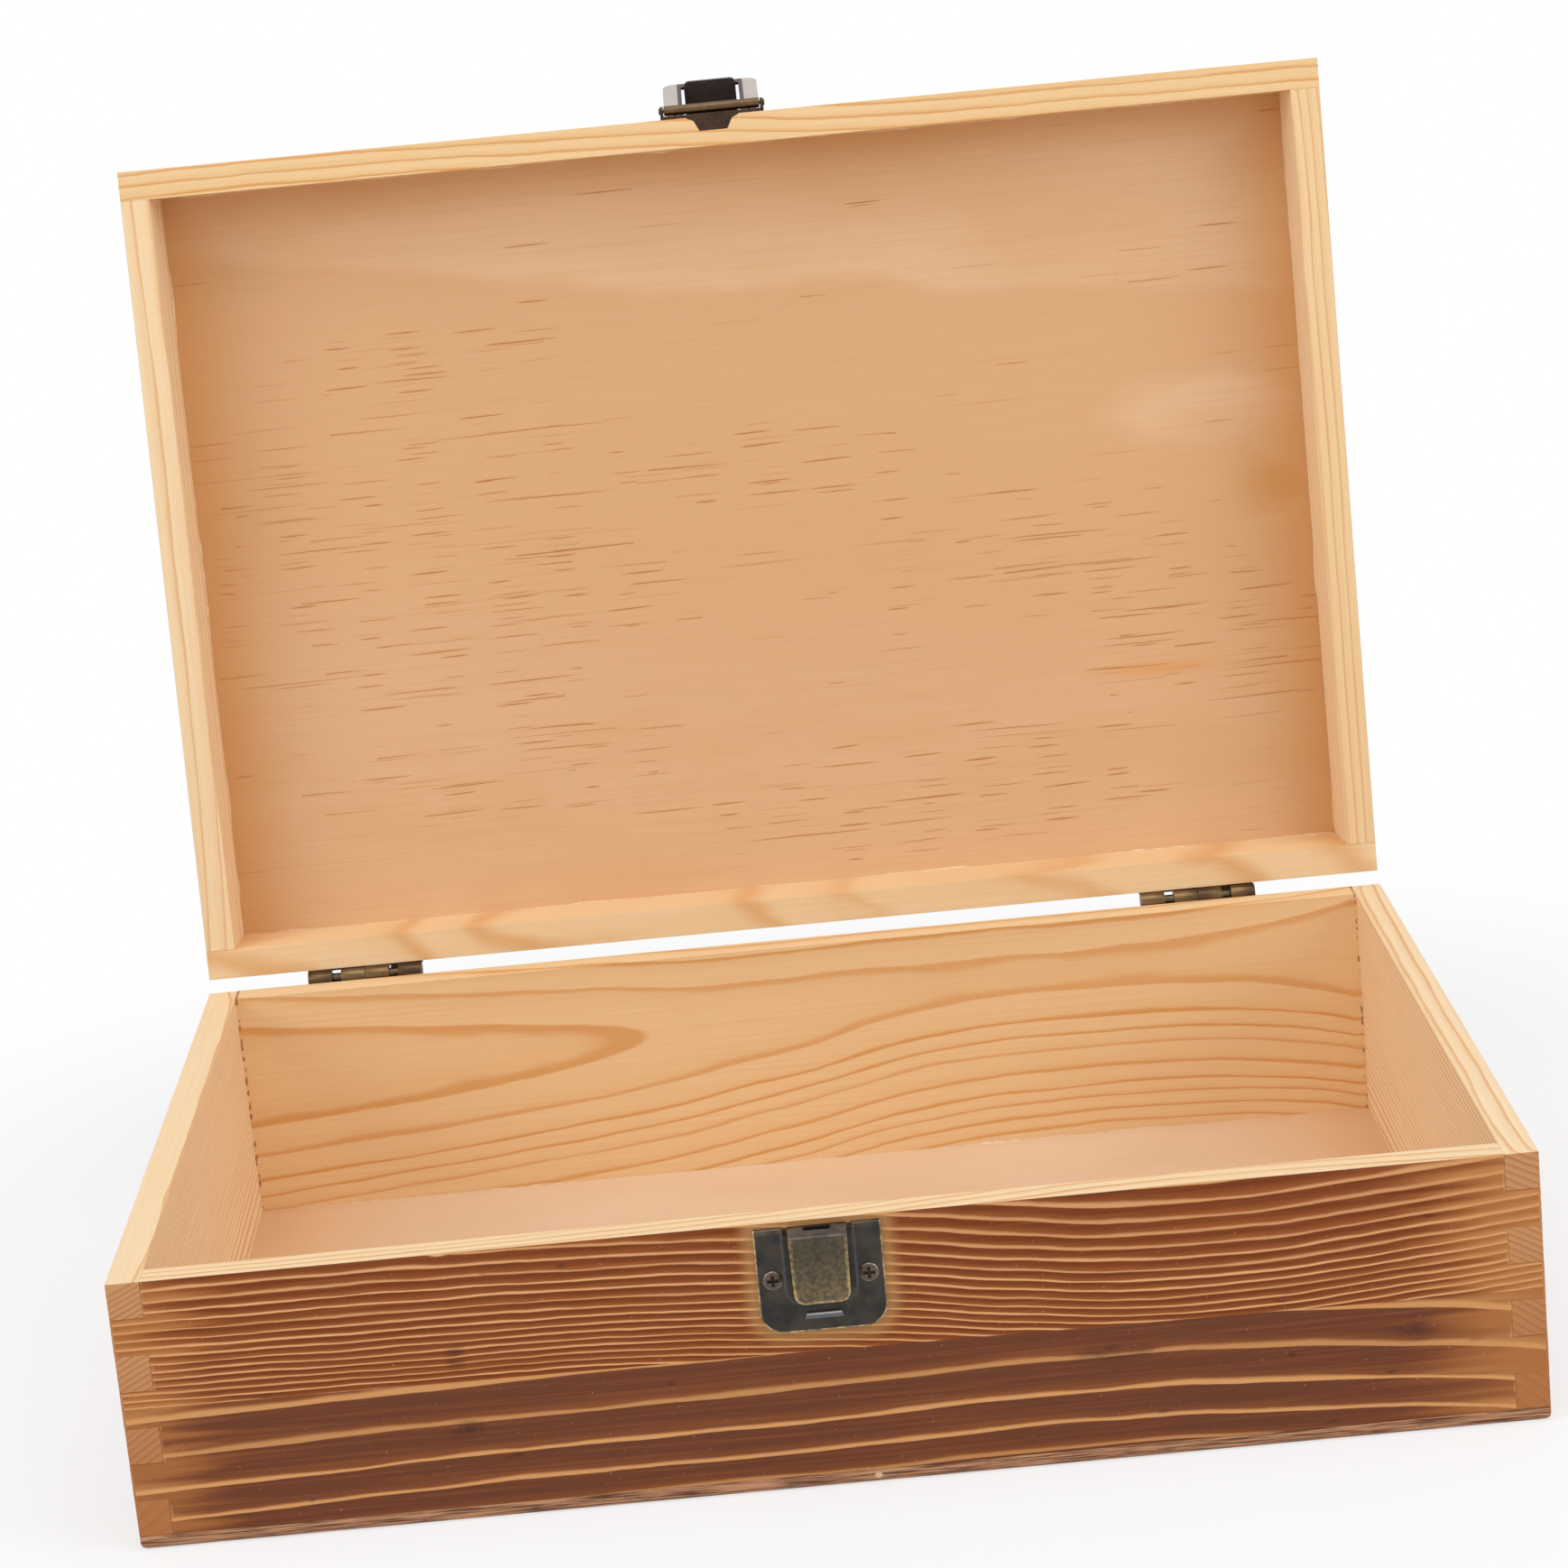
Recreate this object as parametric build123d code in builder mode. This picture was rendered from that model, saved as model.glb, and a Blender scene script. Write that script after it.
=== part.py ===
from build123d import *
import os
from math import cos, hypot, radians, sin

# Wooden storage box with a hinged lid and a hasp latch, standing open.
# Millimetres. Origin: centre of the underside. X runs to the right, Y to the back, Z up.

os.makedirs("parts", exist_ok=True)

# Carcass: finger-jointed boards between two plywood panels, the lid sawn off afterwards
box_width = 330.0
box_depth = 226.0
wall = 8.0
finger = 9.0
body_fingers = 7
lid_fingers = 3
saw_kerf = 3.0
parting_gap = 0.4
panel_thickness = 3.6
panel_edge_radius = 2.0

# How far the two moving pieces stand open
lid_open_angle = 96.5
flap_open_angle = 161.5

# Screws: domed head with a cross recess, plain shank with a point
screw_head_radius = 2.25
screw_head_height = 0.9
screw_rim_height = 0.35
screw_shank_radius = 1.1
screw_length = 6.4
screw_point = 1.6
screw_clearance = 0.05
recess_arm = 2.7
recess_width = 0.75
recess_depth = 0.55

# Hinges: two leaves of one stamping on a pin, four knuckles, a stop finger on each leaf
left_hinge_inset = 44.0
right_hinge_inset = 51.0
hinge_sheet = 1.0
knuckle_radius = 2.5
knuckle_length = 6.7
knuckle_gap = 2.6
knuckle_play = 0.1
knuckle_notch = 0.5
barrel_wood_gap = 0.25
pin_clearance = 0.05
leaf_height = 14.0
leaf_corner = 2.0
leaf_screw_spread = 19.0
leaf_screw_drop = 8.6
stop_reach = 4.6
stop_sheet = 1.0
stop_clearance = 0.1
stop_side_gap = 0.3

# Latch, both halves
latch_centre = -1.1
latch_sheet = 0.9

# Keeper on the box: plate with a tongue folded over from its top edge
keeper_width = 29.4
keeper_height = 25.5
keeper_drop = 1.4
keeper_corner = 5.5
keeper_screw_spread = 22.2
keeper_screw_drop = 13.7
wing_roll_radius = 0.6
tongue_width = 13.6
tongue_tip_width = 12.9
tongue_reach = 5.6
tongue_shoulder_drop = 2.9
tongue_tip_drop = 18.6
tongue_corner = 2.5
tongue_bend = 0.8
relief_width = 1.1
relief_depth = 1.7
slot_length = 6.6
slot_width = 1.6
slot_off_face = 2.0
dish_margin = 1.5
dish_depth = 0.3
dish_corner = 4.0
lug_width = 9.4
lug_top_width = 8.0
lug_drop = 22.3
lug_height = 1.9
lug_rise = 0.9

# Hasp plate on the lid: plate with two ears for the pin and a tab turned in under the rim
hasp_width = 28.4
hasp_height = 21.0
hasp_corner = 5.5
hasp_screw_spread = 20.4
hasp_screw_rise = 13.2
ear_radius = 1.25
latch_pin_radius = 0.5
latch_pin_rise = 1.9
latch_pin_head_radius = 0.85
latch_pin_head = 0.35
tab_root_width = 14.2
tab_width = 10.4
tab_tip_width = 7.5
tab_shoulder = 0.9
tab_length = 3.7
tab_corner = 0.6
tab_clearance = 0.15

# Latch flap: frame with a window, rolled round the pin, and a hook plate across its far bar
flap_sheet = 0.8
flap_side_gap = 0.2
flap_plate_gap = 0.15
flap_near_bar = 1.9
flap_far_bar = 3.2
flap_corner = 3.0
window_side_gap = 1.2
window_corner = 1.2
hook_side_gap = 0.8
hook_sheet = 0.9
hook_corner = 1.5
hook_keeper_gap = 0.4
catch_clearance = 0.35
thumb_rest_gap = 0.2

cut_overrun = 1.0

# Levels and planes that follow from the sizes above
body_height = body_fingers * finger
rim_z = panel_thickness + body_height
lid_rim_z = rim_z + parting_gap
lid_rail_height = lid_fingers * finger - saw_kerf
lid_panel_z = lid_rim_z + lid_rail_height
half_width = box_width / 2
half_depth = box_depth / 2
front_face = Plane.XZ.offset(half_depth)
back_face = Plane.XZ.offset(-half_depth)
left_face = Plane.YZ.offset(-half_width)
right_face = Plane.YZ.offset(half_width)

# Hinge axis and the places of the knuckles along it
axis_off_face = knuckle_radius + barrel_wood_gap
hinge_y = half_depth + axis_off_face
hinge_z = rim_z + parting_gap / 2
hinge_axis = Axis((0, hinge_y, hinge_z), (1, 0, 0))
knuckle_bore = knuckle_radius - hinge_sheet
inner_knuckle = (knuckle_play + knuckle_length) / 2
outer_knuckle = inner_knuckle + knuckle_length + knuckle_gap
hinge_half_length = outer_knuckle + knuckle_length / 2
hinge_centres = {"left": left_hinge_inset - half_width, "right": half_width - right_hinge_inset}

# Latch pin, and the section planes across the latch: local x runs out from the box, local y up
latch_bore = latch_pin_radius + pin_clearance
barrel_radius = latch_bore + flap_sheet
pin_off_face = latch_sheet + flap_plate_gap + barrel_radius
latch_pin_y = -half_depth - pin_off_face
latch_pin_z = lid_rim_z + latch_pin_rise
latch_axis = Axis((latch_centre, latch_pin_y, latch_pin_z), (1, 0, 0))
keeper_section = Plane(origin=(latch_centre, -half_depth, rim_z), x_dir=(0, -1, 0), z_dir=(-1, 0, 0))
pin_section = Plane(origin=latch_axis.position, x_dir=(0, -1, 0), z_dir=(-1, 0, 0))

# The hook swings up past the tongue's tip, so it clears the tip's outer corner in a circle
# round the pin. Folded back, the flap leans on the hook plate's thumb end. The flap hangs between
# the hasp's ears, its window round the tongue.
tip_below_pin = latch_pin_z - rim_z + tongue_tip_drop
tip_beyond_pin = tongue_reach - pin_off_face
hook_below_pin = hypot(tip_below_pin, tip_beyond_pin) + catch_clearance
flap_length = hook_below_pin + hook_sheet + flap_far_bar
flap_width = hasp_width - 2 * (latch_sheet + flap_side_gap)
window_width = tongue_width + 2 * window_side_gap
hook_width = window_width - 2 * hook_side_gap
hook_off_face = latch_sheet + hook_keeper_gap
flap_lean = radians(180 - flap_open_angle)
thumb_beyond_pin = (pin_off_face + hook_below_pin * sin(flap_lean) - thumb_rest_gap) / cos(flap_lean)
thumb_off_face = pin_off_face + thumb_beyond_pin

# Screw sizes and places, the places in X and Z
screw_hole_radius = screw_shank_radius + screw_clearance
dome_rise = screw_head_height - screw_rim_height
dome_radius = (screw_head_radius**2 + dome_rise**2) / (2 * dome_rise)
keeper_spots = [
    (latch_centre + side * keeper_screw_spread / 2, rim_z - keeper_screw_drop) for side in (-1, 1)
]
hasp_spots = [
    (latch_centre + side * hasp_screw_spread / 2, lid_rim_z + hasp_screw_rise) for side in (-1, 1)
]


def leaf_spots(centre, sense):
    """Screw places of one hinge leaf: sense -1 hangs on the box, 1 stands on the lid."""
    height = hinge_z + sense * leaf_screw_drop
    return [(centre + side * leaf_screw_spread / 2, height) for side in (-1, 1)]


def both_leaf_spots(sense):
    """Screw places of the leaves of both hinges on the box or on the lid."""
    return [spot for centre in hinge_centres.values() for spot in leaf_spots(centre, sense)]


def lid_swing(shape):
    """Swing a piece of the closed lid open about the hinge pins."""
    return shape.rotate(hinge_axis, -lid_open_angle)


def flap_swing(shape):
    """Swing a piece of the closed latch flap back against the lid, then open with the lid."""
    return lid_swing(shape.rotate(latch_axis, -flap_open_angle))


def write_piece(shape, name):
    """Label a finished piece and write it to a file of its own."""
    shape.label = name
    export_step(shape, f"parts/{name}.step")


def finger_middles(top, count, first):
    """Heights of the middles of every second finger below top, from the first one given."""
    return [top - (step + 1 / 2) * finger for step in range(first, count, 2)]


def notched_board(length, low, tall, notch_heights):
    """Sketch a board from its face, its ends cut back where the fingers of the next boards go."""
    with Locations((0, low + tall / 2)):
        Rectangle(length, tall)
    ends = [(side * (length - wall) / 2, height) for side in (-1, 1) for height in notch_heights]
    with Locations(*ends):
        Rectangle(wall, finger, mode=Mode.SUBTRACT)


def screw_holes(face, spots, amount):
    """Drill holes for the screws from a face, to a signed depth along the face's normal."""
    with BuildSketch(face) as holes:
        with Locations(*spots):
            Circle(screw_hole_radius)
    extrude(holes.sketch, amount=amount, mode=Mode.SUBTRACT)


def pilot_depth(sheet):
    """Depth of the hole in the wood for a screw that comes through a plate of this sheet."""
    return screw_length - sheet + screw_clearance


# Screw: one shape, copied to every place
with BuildPart() as screw:
    with BuildSketch(Plane.XZ):
        with BuildLine():
            shank = Polyline(
                (0, screw_head_height),
                (0, -screw_length),
                (screw_shank_radius, screw_point - screw_length),
                (screw_shank_radius, 0),
                (screw_head_radius, 0),
                (screw_head_radius, screw_rim_height),
            )
            RadiusArc(shank @ 1, shank @ 0, -dome_radius)
        make_face()
    revolve(axis=Axis.Z)
    with BuildSketch(Plane.XY.offset(screw_head_height)):
        Rectangle(recess_arm, recess_width)
        Rectangle(recess_width, recess_arm)
    extrude(amount=-recess_depth, mode=Mode.SUBTRACT)


def screw_set(spots, seat_y, outward):
    """Copies of the screw with their heads seated at seat_y, facing outward along Y."""
    with BuildPart() as screws:
        with Locations(*[Plane(origin=(x, seat_y, z), z_dir=(0, outward, 0)) for x, z in spots]):
            add(screw.part)
    return screws.part


# Box body: the side walls hold the first finger under the rim, the front and back walls the second
side_finger_heights = finger_middles(rim_z, body_fingers, 0)
front_finger_heights = finger_middles(rim_z, body_fingers, 1)

with BuildPart() as front_wall:
    with BuildSketch(front_face):
        notched_board(box_width, panel_thickness, body_height, side_finger_heights)
    extrude(amount=-wall)
    screw_holes(front_face, keeper_spots, -pilot_depth(latch_sheet))
write_piece(front_wall.part, "front_wall")

with BuildPart() as back_wall:
    with BuildSketch(back_face):
        notched_board(box_width, panel_thickness, body_height, side_finger_heights)
    extrude(amount=wall)
    screw_holes(back_face, both_leaf_spots(-1), pilot_depth(hinge_sheet))
write_piece(back_wall.part, "back_wall")

with BuildPart() as left_wall:
    with BuildSketch(left_face):
        notched_board(box_depth, panel_thickness, body_height, front_finger_heights)
    extrude(amount=wall)
write_piece(left_wall.part, "left_wall")

with BuildPart() as right_wall:
    with BuildSketch(right_face):
        notched_board(box_depth, panel_thickness, body_height, front_finger_heights)
    extrude(amount=-wall)
write_piece(right_wall.part, "right_wall")

with BuildPart() as bottom_panel:
    with BuildSketch():
        Rectangle(box_width, box_depth)
    extrude(amount=panel_thickness)
    fillet(bottom_panel.edges().group_by(Axis.Z)[0], panel_edge_radius)
write_piece(bottom_panel.part, "bottom_panel")

# Lid: the front and back rails hold the finger under the panel and what the saw left of the third
lid_side_finger_heights = finger_middles(lid_panel_z, lid_fingers, 1)
lid_front_finger_heights = finger_middles(lid_panel_z, lid_fingers, 0)


def mirrored(right_side, low):
    """Points of an outline that is alike on both sides of the latch, from its right side, above low."""
    left_side = [(-x, height) for x, height in reversed(right_side)]
    return [(latch_centre + x, low + height) for x, height in right_side + left_side]


# Outline of the hasp plate's turned-in tab, seen from above: root, shoulders, tapered tip
tab_points = mirrored(
    [
        (tab_root_width / 2, -latch_sheet),
        (tab_root_width / 2, 0),
        (tab_width / 2, tab_shoulder),
        (tab_tip_width / 2, tab_length),
    ],
    -half_depth,
)

with BuildSketch(Plane.XY.offset(lid_rim_z)) as tab_outline:
    with BuildLine():
        Polyline(*tab_points, close=True)
    make_face()
    fillet(tab_outline.vertices().group_by(Axis.Y)[-1], tab_corner)

with BuildSketch(Plane.XY.offset(lid_rim_z)) as tab_recess:
    with BuildLine():
        Polyline(*tab_points, close=True)
    make_face()
    offset(amount=tab_clearance)

with BuildPart() as lid_front_rail:
    with BuildSketch(front_face):
        notched_board(box_width, lid_rim_z, lid_rail_height, lid_side_finger_heights)
    extrude(amount=-wall)
    screw_holes(front_face, hasp_spots, -pilot_depth(latch_sheet))
    extrude(tab_recess.sketch, amount=latch_sheet, mode=Mode.SUBTRACT)
write_piece(lid_swing(lid_front_rail.part), "lid_front_rail")

with BuildPart() as lid_back_rail:
    with BuildSketch(back_face):
        notched_board(box_width, lid_rim_z, lid_rail_height, lid_side_finger_heights)
    extrude(amount=wall)
    screw_holes(back_face, both_leaf_spots(1), pilot_depth(hinge_sheet))
write_piece(lid_swing(lid_back_rail.part), "lid_back_rail")

with BuildPart() as lid_left_rail:
    with BuildSketch(left_face):
        notched_board(box_depth, lid_rim_z, lid_rail_height, lid_front_finger_heights)
    extrude(amount=wall)
write_piece(lid_swing(lid_left_rail.part), "lid_left_rail")

with BuildPart() as lid_right_rail:
    with BuildSketch(right_face):
        notched_board(box_depth, lid_rim_z, lid_rail_height, lid_front_finger_heights)
    extrude(amount=-wall)
write_piece(lid_swing(lid_right_rail.part), "lid_right_rail")

with BuildPart() as lid_panel:
    with BuildSketch(Plane.XY.offset(lid_panel_z)):
        Rectangle(box_width, box_depth)
    extrude(amount=panel_thickness)
    fillet(lid_panel.edges().group_by(Axis.Z)[-1], panel_edge_radius)
write_piece(lid_swing(lid_panel.part), "lid_panel")


def hinge_leaf(centre, sense):
    """One leaf of a closed hinge: sense -1 hangs on the box, 1 stands on the lid."""
    plate_start = knuckle_radius + knuckle_notch
    strap_start = parting_gap / 2
    knuckles = [centre - sense * outer_knuckle, centre + sense * inner_knuckle]
    with BuildPart() as leaf:
        with BuildSketch(back_face) as plate:
            with Locations((centre, hinge_z + sense * (plate_start + leaf_height) / 2)):
                Rectangle(2 * hinge_half_length, leaf_height - plate_start)
            far_end = plate.vertices().sort_by(Axis.Y, reverse=sense > 0)[:2]
            fillet(far_end, leaf_corner)
            with Locations(*[(x, hinge_z + sense * (strap_start + plate_start) / 2) for x in knuckles]):
                Rectangle(knuckle_length, plate_start - strap_start)
        extrude(amount=-hinge_sheet)
        screw_holes(back_face, leaf_spots(centre, sense), -hinge_sheet)
        for x in knuckles:
            with BuildSketch(Plane.YZ.offset(x)):
                with Locations((hinge_y, hinge_z)):
                    Circle(knuckle_radius)
                    Circle(knuckle_bore, mode=Mode.SUBTRACT)
            extrude(amount=knuckle_length / 2, both=True)
        # The stop finger lies along the other leaf once the lid stands open
        stop_width = knuckle_length / 2 + knuckle_gap - stop_side_gap
        stop_middle = centre - sense * (outer_knuckle - stop_width / 2)
        swing = radians(lid_open_angle)
        stop_section = Plane(
            origin=(stop_middle, hinge_y, hinge_z),
            x_dir=(0, cos(swing), sense * sin(swing)),
            z_dir=(1, 0, 0),
        )
        flank = hinge_sheet + stop_clearance - axis_off_face
        with BuildSketch(stop_section):
            with Locations((flank + stop_sheet / 2, -sense * (knuckle_bore + stop_reach) / 2)):
                Rectangle(stop_sheet, stop_reach - knuckle_bore)
        extrude(amount=stop_width / 2, both=True)
    return leaf.part


for side, centre in hinge_centres.items():
    leaf_seat = half_depth + hinge_sheet
    write_piece(hinge_leaf(centre, -1), f"{side}_hinge_box_leaf")
    write_piece(lid_swing(hinge_leaf(centre, 1)), f"{side}_hinge_lid_leaf")
    write_piece(screw_set(leaf_spots(centre, -1), leaf_seat, 1), f"{side}_hinge_box_screws")
    write_piece(lid_swing(screw_set(leaf_spots(centre, 1), leaf_seat, 1)), f"{side}_hinge_lid_screws")
    with BuildPart() as hinge_pin:
        with BuildSketch(Plane.YZ.offset(centre)):
            with Locations((hinge_y, hinge_z)):
                Circle(knuckle_bore - pin_clearance)
        extrude(amount=hinge_half_length, both=True)
    write_piece(hinge_pin.part, f"{side}_hinge_pin")

# Keeper: the tongue is a strip bent over from the plate's top edge, trimmed to its front outline
latch_seat = -half_depth - latch_sheet

with BuildPart() as tongue:
    with BuildSketch(keeper_section):
        with BuildLine():
            FilletPolyline(
                (latch_sheet / 2, -keeper_drop - relief_depth),
                (latch_sheet / 2, -keeper_drop),
                (tongue_reach - latch_sheet / 2, -tongue_shoulder_drop),
                (tongue_reach - latch_sheet / 2, -tongue_tip_drop),
                radius=tongue_bend,
            )
        trace(line_width=latch_sheet)
    extrude(amount=tongue_width / 2, both=True)
    with BuildSketch(front_face) as tongue_front:
        with BuildLine():
            Polyline(
                *mirrored(
                    [
                        (tongue_width / 2, 0),
                        (tongue_width / 2, -tongue_shoulder_drop),
                        (tongue_tip_width / 2, -tongue_tip_drop),
                    ],
                    rim_z,
                ),
                close=True,
            )
        make_face()
        fillet(tongue_front.vertices().group_by(Axis.Y)[0], tongue_corner)
    extrude(amount=tongue_reach, mode=Mode.INTERSECT)
    with BuildSketch(Plane.XY.offset(rim_z)):
        with Locations((latch_centre, -half_depth - slot_off_face)):
            SlotOverall(slot_length, slot_width)
    extrude(amount=-tongue_shoulder_drop - latch_sheet, mode=Mode.SUBTRACT)

with BuildPart() as lug:
    with BuildSketch(keeper_section):
        with BuildLine():
            Polyline(
                (0, -lug_drop),
                (latch_sheet + lug_rise, -lug_drop),
                (latch_sheet, -lug_drop - lug_height),
                (0, -lug_drop - lug_height),
                close=True,
            )
        make_face()
    extrude(amount=lug_width / 2, both=True)
    with BuildSketch(front_face):
        with BuildLine():
            Polyline(
                *mirrored([(lug_top_width / 2, 0), (lug_width / 2, -lug_height)], rim_z - lug_drop),
                close=True,
            )
        make_face()
    extrude(amount=latch_sheet + lug_rise, mode=Mode.INTERSECT)

with BuildPart() as keeper_plate:
    keeper_top = rim_z - keeper_drop
    with BuildSketch(front_face) as keeper_front:
        with Locations((latch_centre, keeper_top - keeper_height / 2)):
            Rectangle(keeper_width, keeper_height)
        fillet(keeper_front.vertices().group_by(Axis.Y)[0], keeper_corner)
        reliefs = [(latch_centre + side * (tongue_width + relief_width) / 2, keeper_top) for side in (-1, 1)]
        with Locations(*reliefs):
            Rectangle(relief_width, 2 * relief_depth, mode=Mode.SUBTRACT)
    extrude(amount=latch_sheet)
    rolled_edges = keeper_plate.edges().filter_by(Axis.X).group_by(Axis.Z)[-1].group_by(Axis.Y)[0]
    fillet(rolled_edges, wing_roll_radius)
    with BuildSketch(front_face.offset(latch_sheet)) as dish:
        dish_depth_below = tongue_tip_drop - keeper_drop + dish_margin
        with Locations((latch_centre, keeper_top - dish_depth_below / 2)):
            Rectangle(tongue_width + 2 * dish_margin, dish_depth_below)
        fillet(dish.vertices().group_by(Axis.Y)[0], dish_corner)
    extrude(amount=-dish_depth, mode=Mode.SUBTRACT)
    screw_holes(front_face, keeper_spots, latch_sheet)
    add(tongue.part)
    add(lug.part)
write_piece(keeper_plate.part, "keeper_plate")
write_piece(screw_set(keeper_spots, latch_seat, -1), "keeper_screws")

with BuildPart() as hasp_plate:
    with BuildSketch(front_face) as hasp_front:
        with Locations((latch_centre, lid_rim_z + hasp_height / 2)):
            Rectangle(hasp_width, hasp_height)
        fillet(hasp_front.vertices().group_by(Axis.Y)[-1], hasp_corner)
    extrude(amount=latch_sheet)
    screw_holes(front_face, hasp_spots, latch_sheet)
    extrude(tab_outline.sketch, amount=latch_sheet)
    for side in (-1, 1):
        with BuildSketch(pin_section.offset(side * (hasp_width - latch_sheet) / 2)):
            with Locations((-pin_off_face / 2, 0)):
                Rectangle(pin_off_face, 2 * ear_radius)
            Circle(ear_radius)
            Circle(latch_bore, mode=Mode.SUBTRACT)
        extrude(amount=latch_sheet / 2, both=True)
write_piece(lid_swing(hasp_plate.part), "hasp_plate")
write_piece(lid_swing(screw_set(hasp_spots, latch_seat, -1)), "hasp_screws")

with BuildPart() as latch_pin:
    with BuildSketch(pin_section):
        Circle(latch_pin_radius)
    extrude(amount=hasp_width / 2, both=True)
    for side in (-1, 1):
        with BuildSketch(pin_section.offset(side * hasp_width / 2)):
            Circle(latch_pin_head_radius)
        extrude(amount=side * latch_pin_head)
write_piece(lid_swing(latch_pin.part), "latch_pin")

# Flap in its closed place, over the keeper's tongue
with BuildPart() as latch_flap:
    with BuildSketch(pin_section):
        Circle(barrel_radius)
        with Locations((barrel_radius - flap_sheet / 2, -flap_length / 2)):
            Rectangle(flap_sheet, flap_length)
        Circle(latch_bore, mode=Mode.SUBTRACT)
    extrude(amount=flap_width / 2, both=True)
    window_start = barrel_radius + flap_near_bar
    window_end = hook_below_pin + hook_sheet
    with BuildSketch(front_face.offset(pin_off_face)) as window:
        with Locations((latch_centre, latch_pin_z - (window_start + window_end) / 2)):
            Rectangle(window_width, window_end - window_start)
        fillet(window.vertices().group_by(Axis.Y)[-1], window_corner)
    extrude(amount=barrel_radius + cut_overrun, mode=Mode.SUBTRACT)
    far_corners = latch_flap.edges().filter_by(Axis.Y).group_by(Axis.Z)[0]
    fillet(far_corners, flap_corner)
write_piece(flap_swing(latch_flap.part), "latch_flap")

with BuildPart() as hook_plate:
    with BuildSketch(Plane.XY.offset(latch_pin_z - hook_below_pin)):
        with Locations((latch_centre, -half_depth - (hook_off_face + thumb_off_face) / 2)):
            RectangleRounded(hook_width, thumb_off_face - hook_off_face, hook_corner)
    extrude(amount=-hook_sheet)
write_piece(flap_swing(hook_plate.part), "hook_plate")
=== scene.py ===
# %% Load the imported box
from math import cos, radians, sin

import bpy
import numpy as np
from mathutils import Matrix, Vector


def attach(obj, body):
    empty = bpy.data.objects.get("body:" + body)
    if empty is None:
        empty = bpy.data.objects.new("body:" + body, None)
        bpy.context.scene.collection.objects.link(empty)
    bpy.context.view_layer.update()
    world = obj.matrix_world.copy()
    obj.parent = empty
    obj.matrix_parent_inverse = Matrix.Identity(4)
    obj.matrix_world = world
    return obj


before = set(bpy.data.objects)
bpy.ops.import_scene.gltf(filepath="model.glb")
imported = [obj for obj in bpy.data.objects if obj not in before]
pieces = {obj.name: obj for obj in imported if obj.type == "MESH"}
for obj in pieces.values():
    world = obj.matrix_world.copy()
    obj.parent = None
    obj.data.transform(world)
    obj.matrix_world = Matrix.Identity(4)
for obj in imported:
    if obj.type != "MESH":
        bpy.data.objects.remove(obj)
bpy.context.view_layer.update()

# %% [markdown]
# # A scorched pine box
# The box is made of finger-jointed pine boards between two thin plywood panels. Before the lid
# was sawn off, the whole outside went past a flame: the soft early wood of each growth ring burnt
# to dark brown and the hard late wood stayed as light lines. The sawn rims and the inside are raw
# pine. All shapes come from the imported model, in metres. This lesson gives them their finishes, adds
# the glue that was squeezed out of the joints, and sets up light and camera.

# %% The box in numbers
MM = 0.001
half_width, half_depth, closed_height = 165.0, 113.0, 94.6
wall, finger = 8.0, 9.0
rim_height, lid_rim_height, lid_panel_height = 66.6, 67.0, 91.0
floor_height = 3.6
lid_angle = radians(96.5)
hinge_y, hinge_z = 115.75, 66.8
latch_x, latch_pin_y, latch_pin_z = -1.1, -115.4, 68.9
print("closed box", 2 * half_width, 2 * half_depth, closed_height, "mm")

# %% [markdown]
# ## Small tools for shader nodes
# A material is a graph of nodes. Writing each node and each link by hand takes many lines, so a few
# helpers place a node, set its properties and fill its inputs: a socket is linked, a number is
# written. Effects that several materials share become node groups with named sockets.

# %% Node helpers
def feed(tree, socket, value):
    """Link a socket, or write a plain value into it."""
    if isinstance(value, bpy.types.NodeSocket):
        tree.links.new(value, socket)
    elif value is not None:
        socket.default_value = value


def place(tree, kind, *values, **settings):
    """Place a node, set its properties, and fill its inputs in order."""
    node = tree.nodes.new("ShaderNode" + kind)
    for name, value in settings.items():
        setattr(node, name, value)
    for socket, value in zip(node.inputs, values):
        feed(tree, socket, value)
    return node


def mix(tree, share, first, second):
    """Blend two colours by a share from 0 to 1."""
    node = place(tree, "Mix", data_type="RGBA")
    for index, value in zip((0, 6, 7), (share, first, second)):
        feed(tree, node.inputs[index], value)
    return node.outputs[2]


def between(tree, share, first, second):
    """Blend two numbers by a share from 0 to 1."""
    return place(tree, "Mix", share, None, first, second).outputs[0]


def ramp(tree, value, low, high, start=0.0, end=1.0):
    """A soft step: start below low, end above high, an S-shaped line between."""
    node = place(tree, "MapRange", value, low, high, start, end, interpolation_type="SMOOTHSTEP")
    return node.outputs[0]


def split(tree, vector):
    """The three parts of a vector as sockets."""
    return place(tree, "SeparateXYZ", vector).outputs


def join(tree, x, y, z):
    """A vector from three parts."""
    return place(tree, "CombineXYZ", x, y, z).outputs[0]


print("one-node helpers ready")


# %% Arithmetic
def calc(tree, operation, first, second=None, third=None):
    """One step of arithmetic."""
    return place(tree, "Math", first, second, third, operation=operation).outputs[0]


def times(tree, first, second):
    """The product of two values."""
    return calc(tree, "MULTIPLY", first, second)


def minus(tree, first, second):
    """The first value less the second."""
    return calc(tree, "SUBTRACT", first, second)


def scaled(tree, value, factor, offset):
    """A value times a factor, plus an offset."""
    return calc(tree, "MULTIPLY_ADD", value, factor, offset)


def rest_of(tree, share):
    """What a share leaves of 1."""
    return minus(tree, 1.0, share)


def apart(tree, first, second):
    """How far two values are apart: their difference without its sign."""
    return calc(tree, "ABSOLUTE", minus(tree, first, second))


def inside(tree, half, value):
    """How far a value lies within plus and minus half: half less the value without its sign."""
    return minus(tree, half, calc(tree, "ABSOLUTE", value))


def most(tree, *masks):
    """The largest of several masks."""
    total = masks[0]
    for mask in masks[1:]:
        total = calc(tree, "MAXIMUM", total, mask)
    return total


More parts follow.
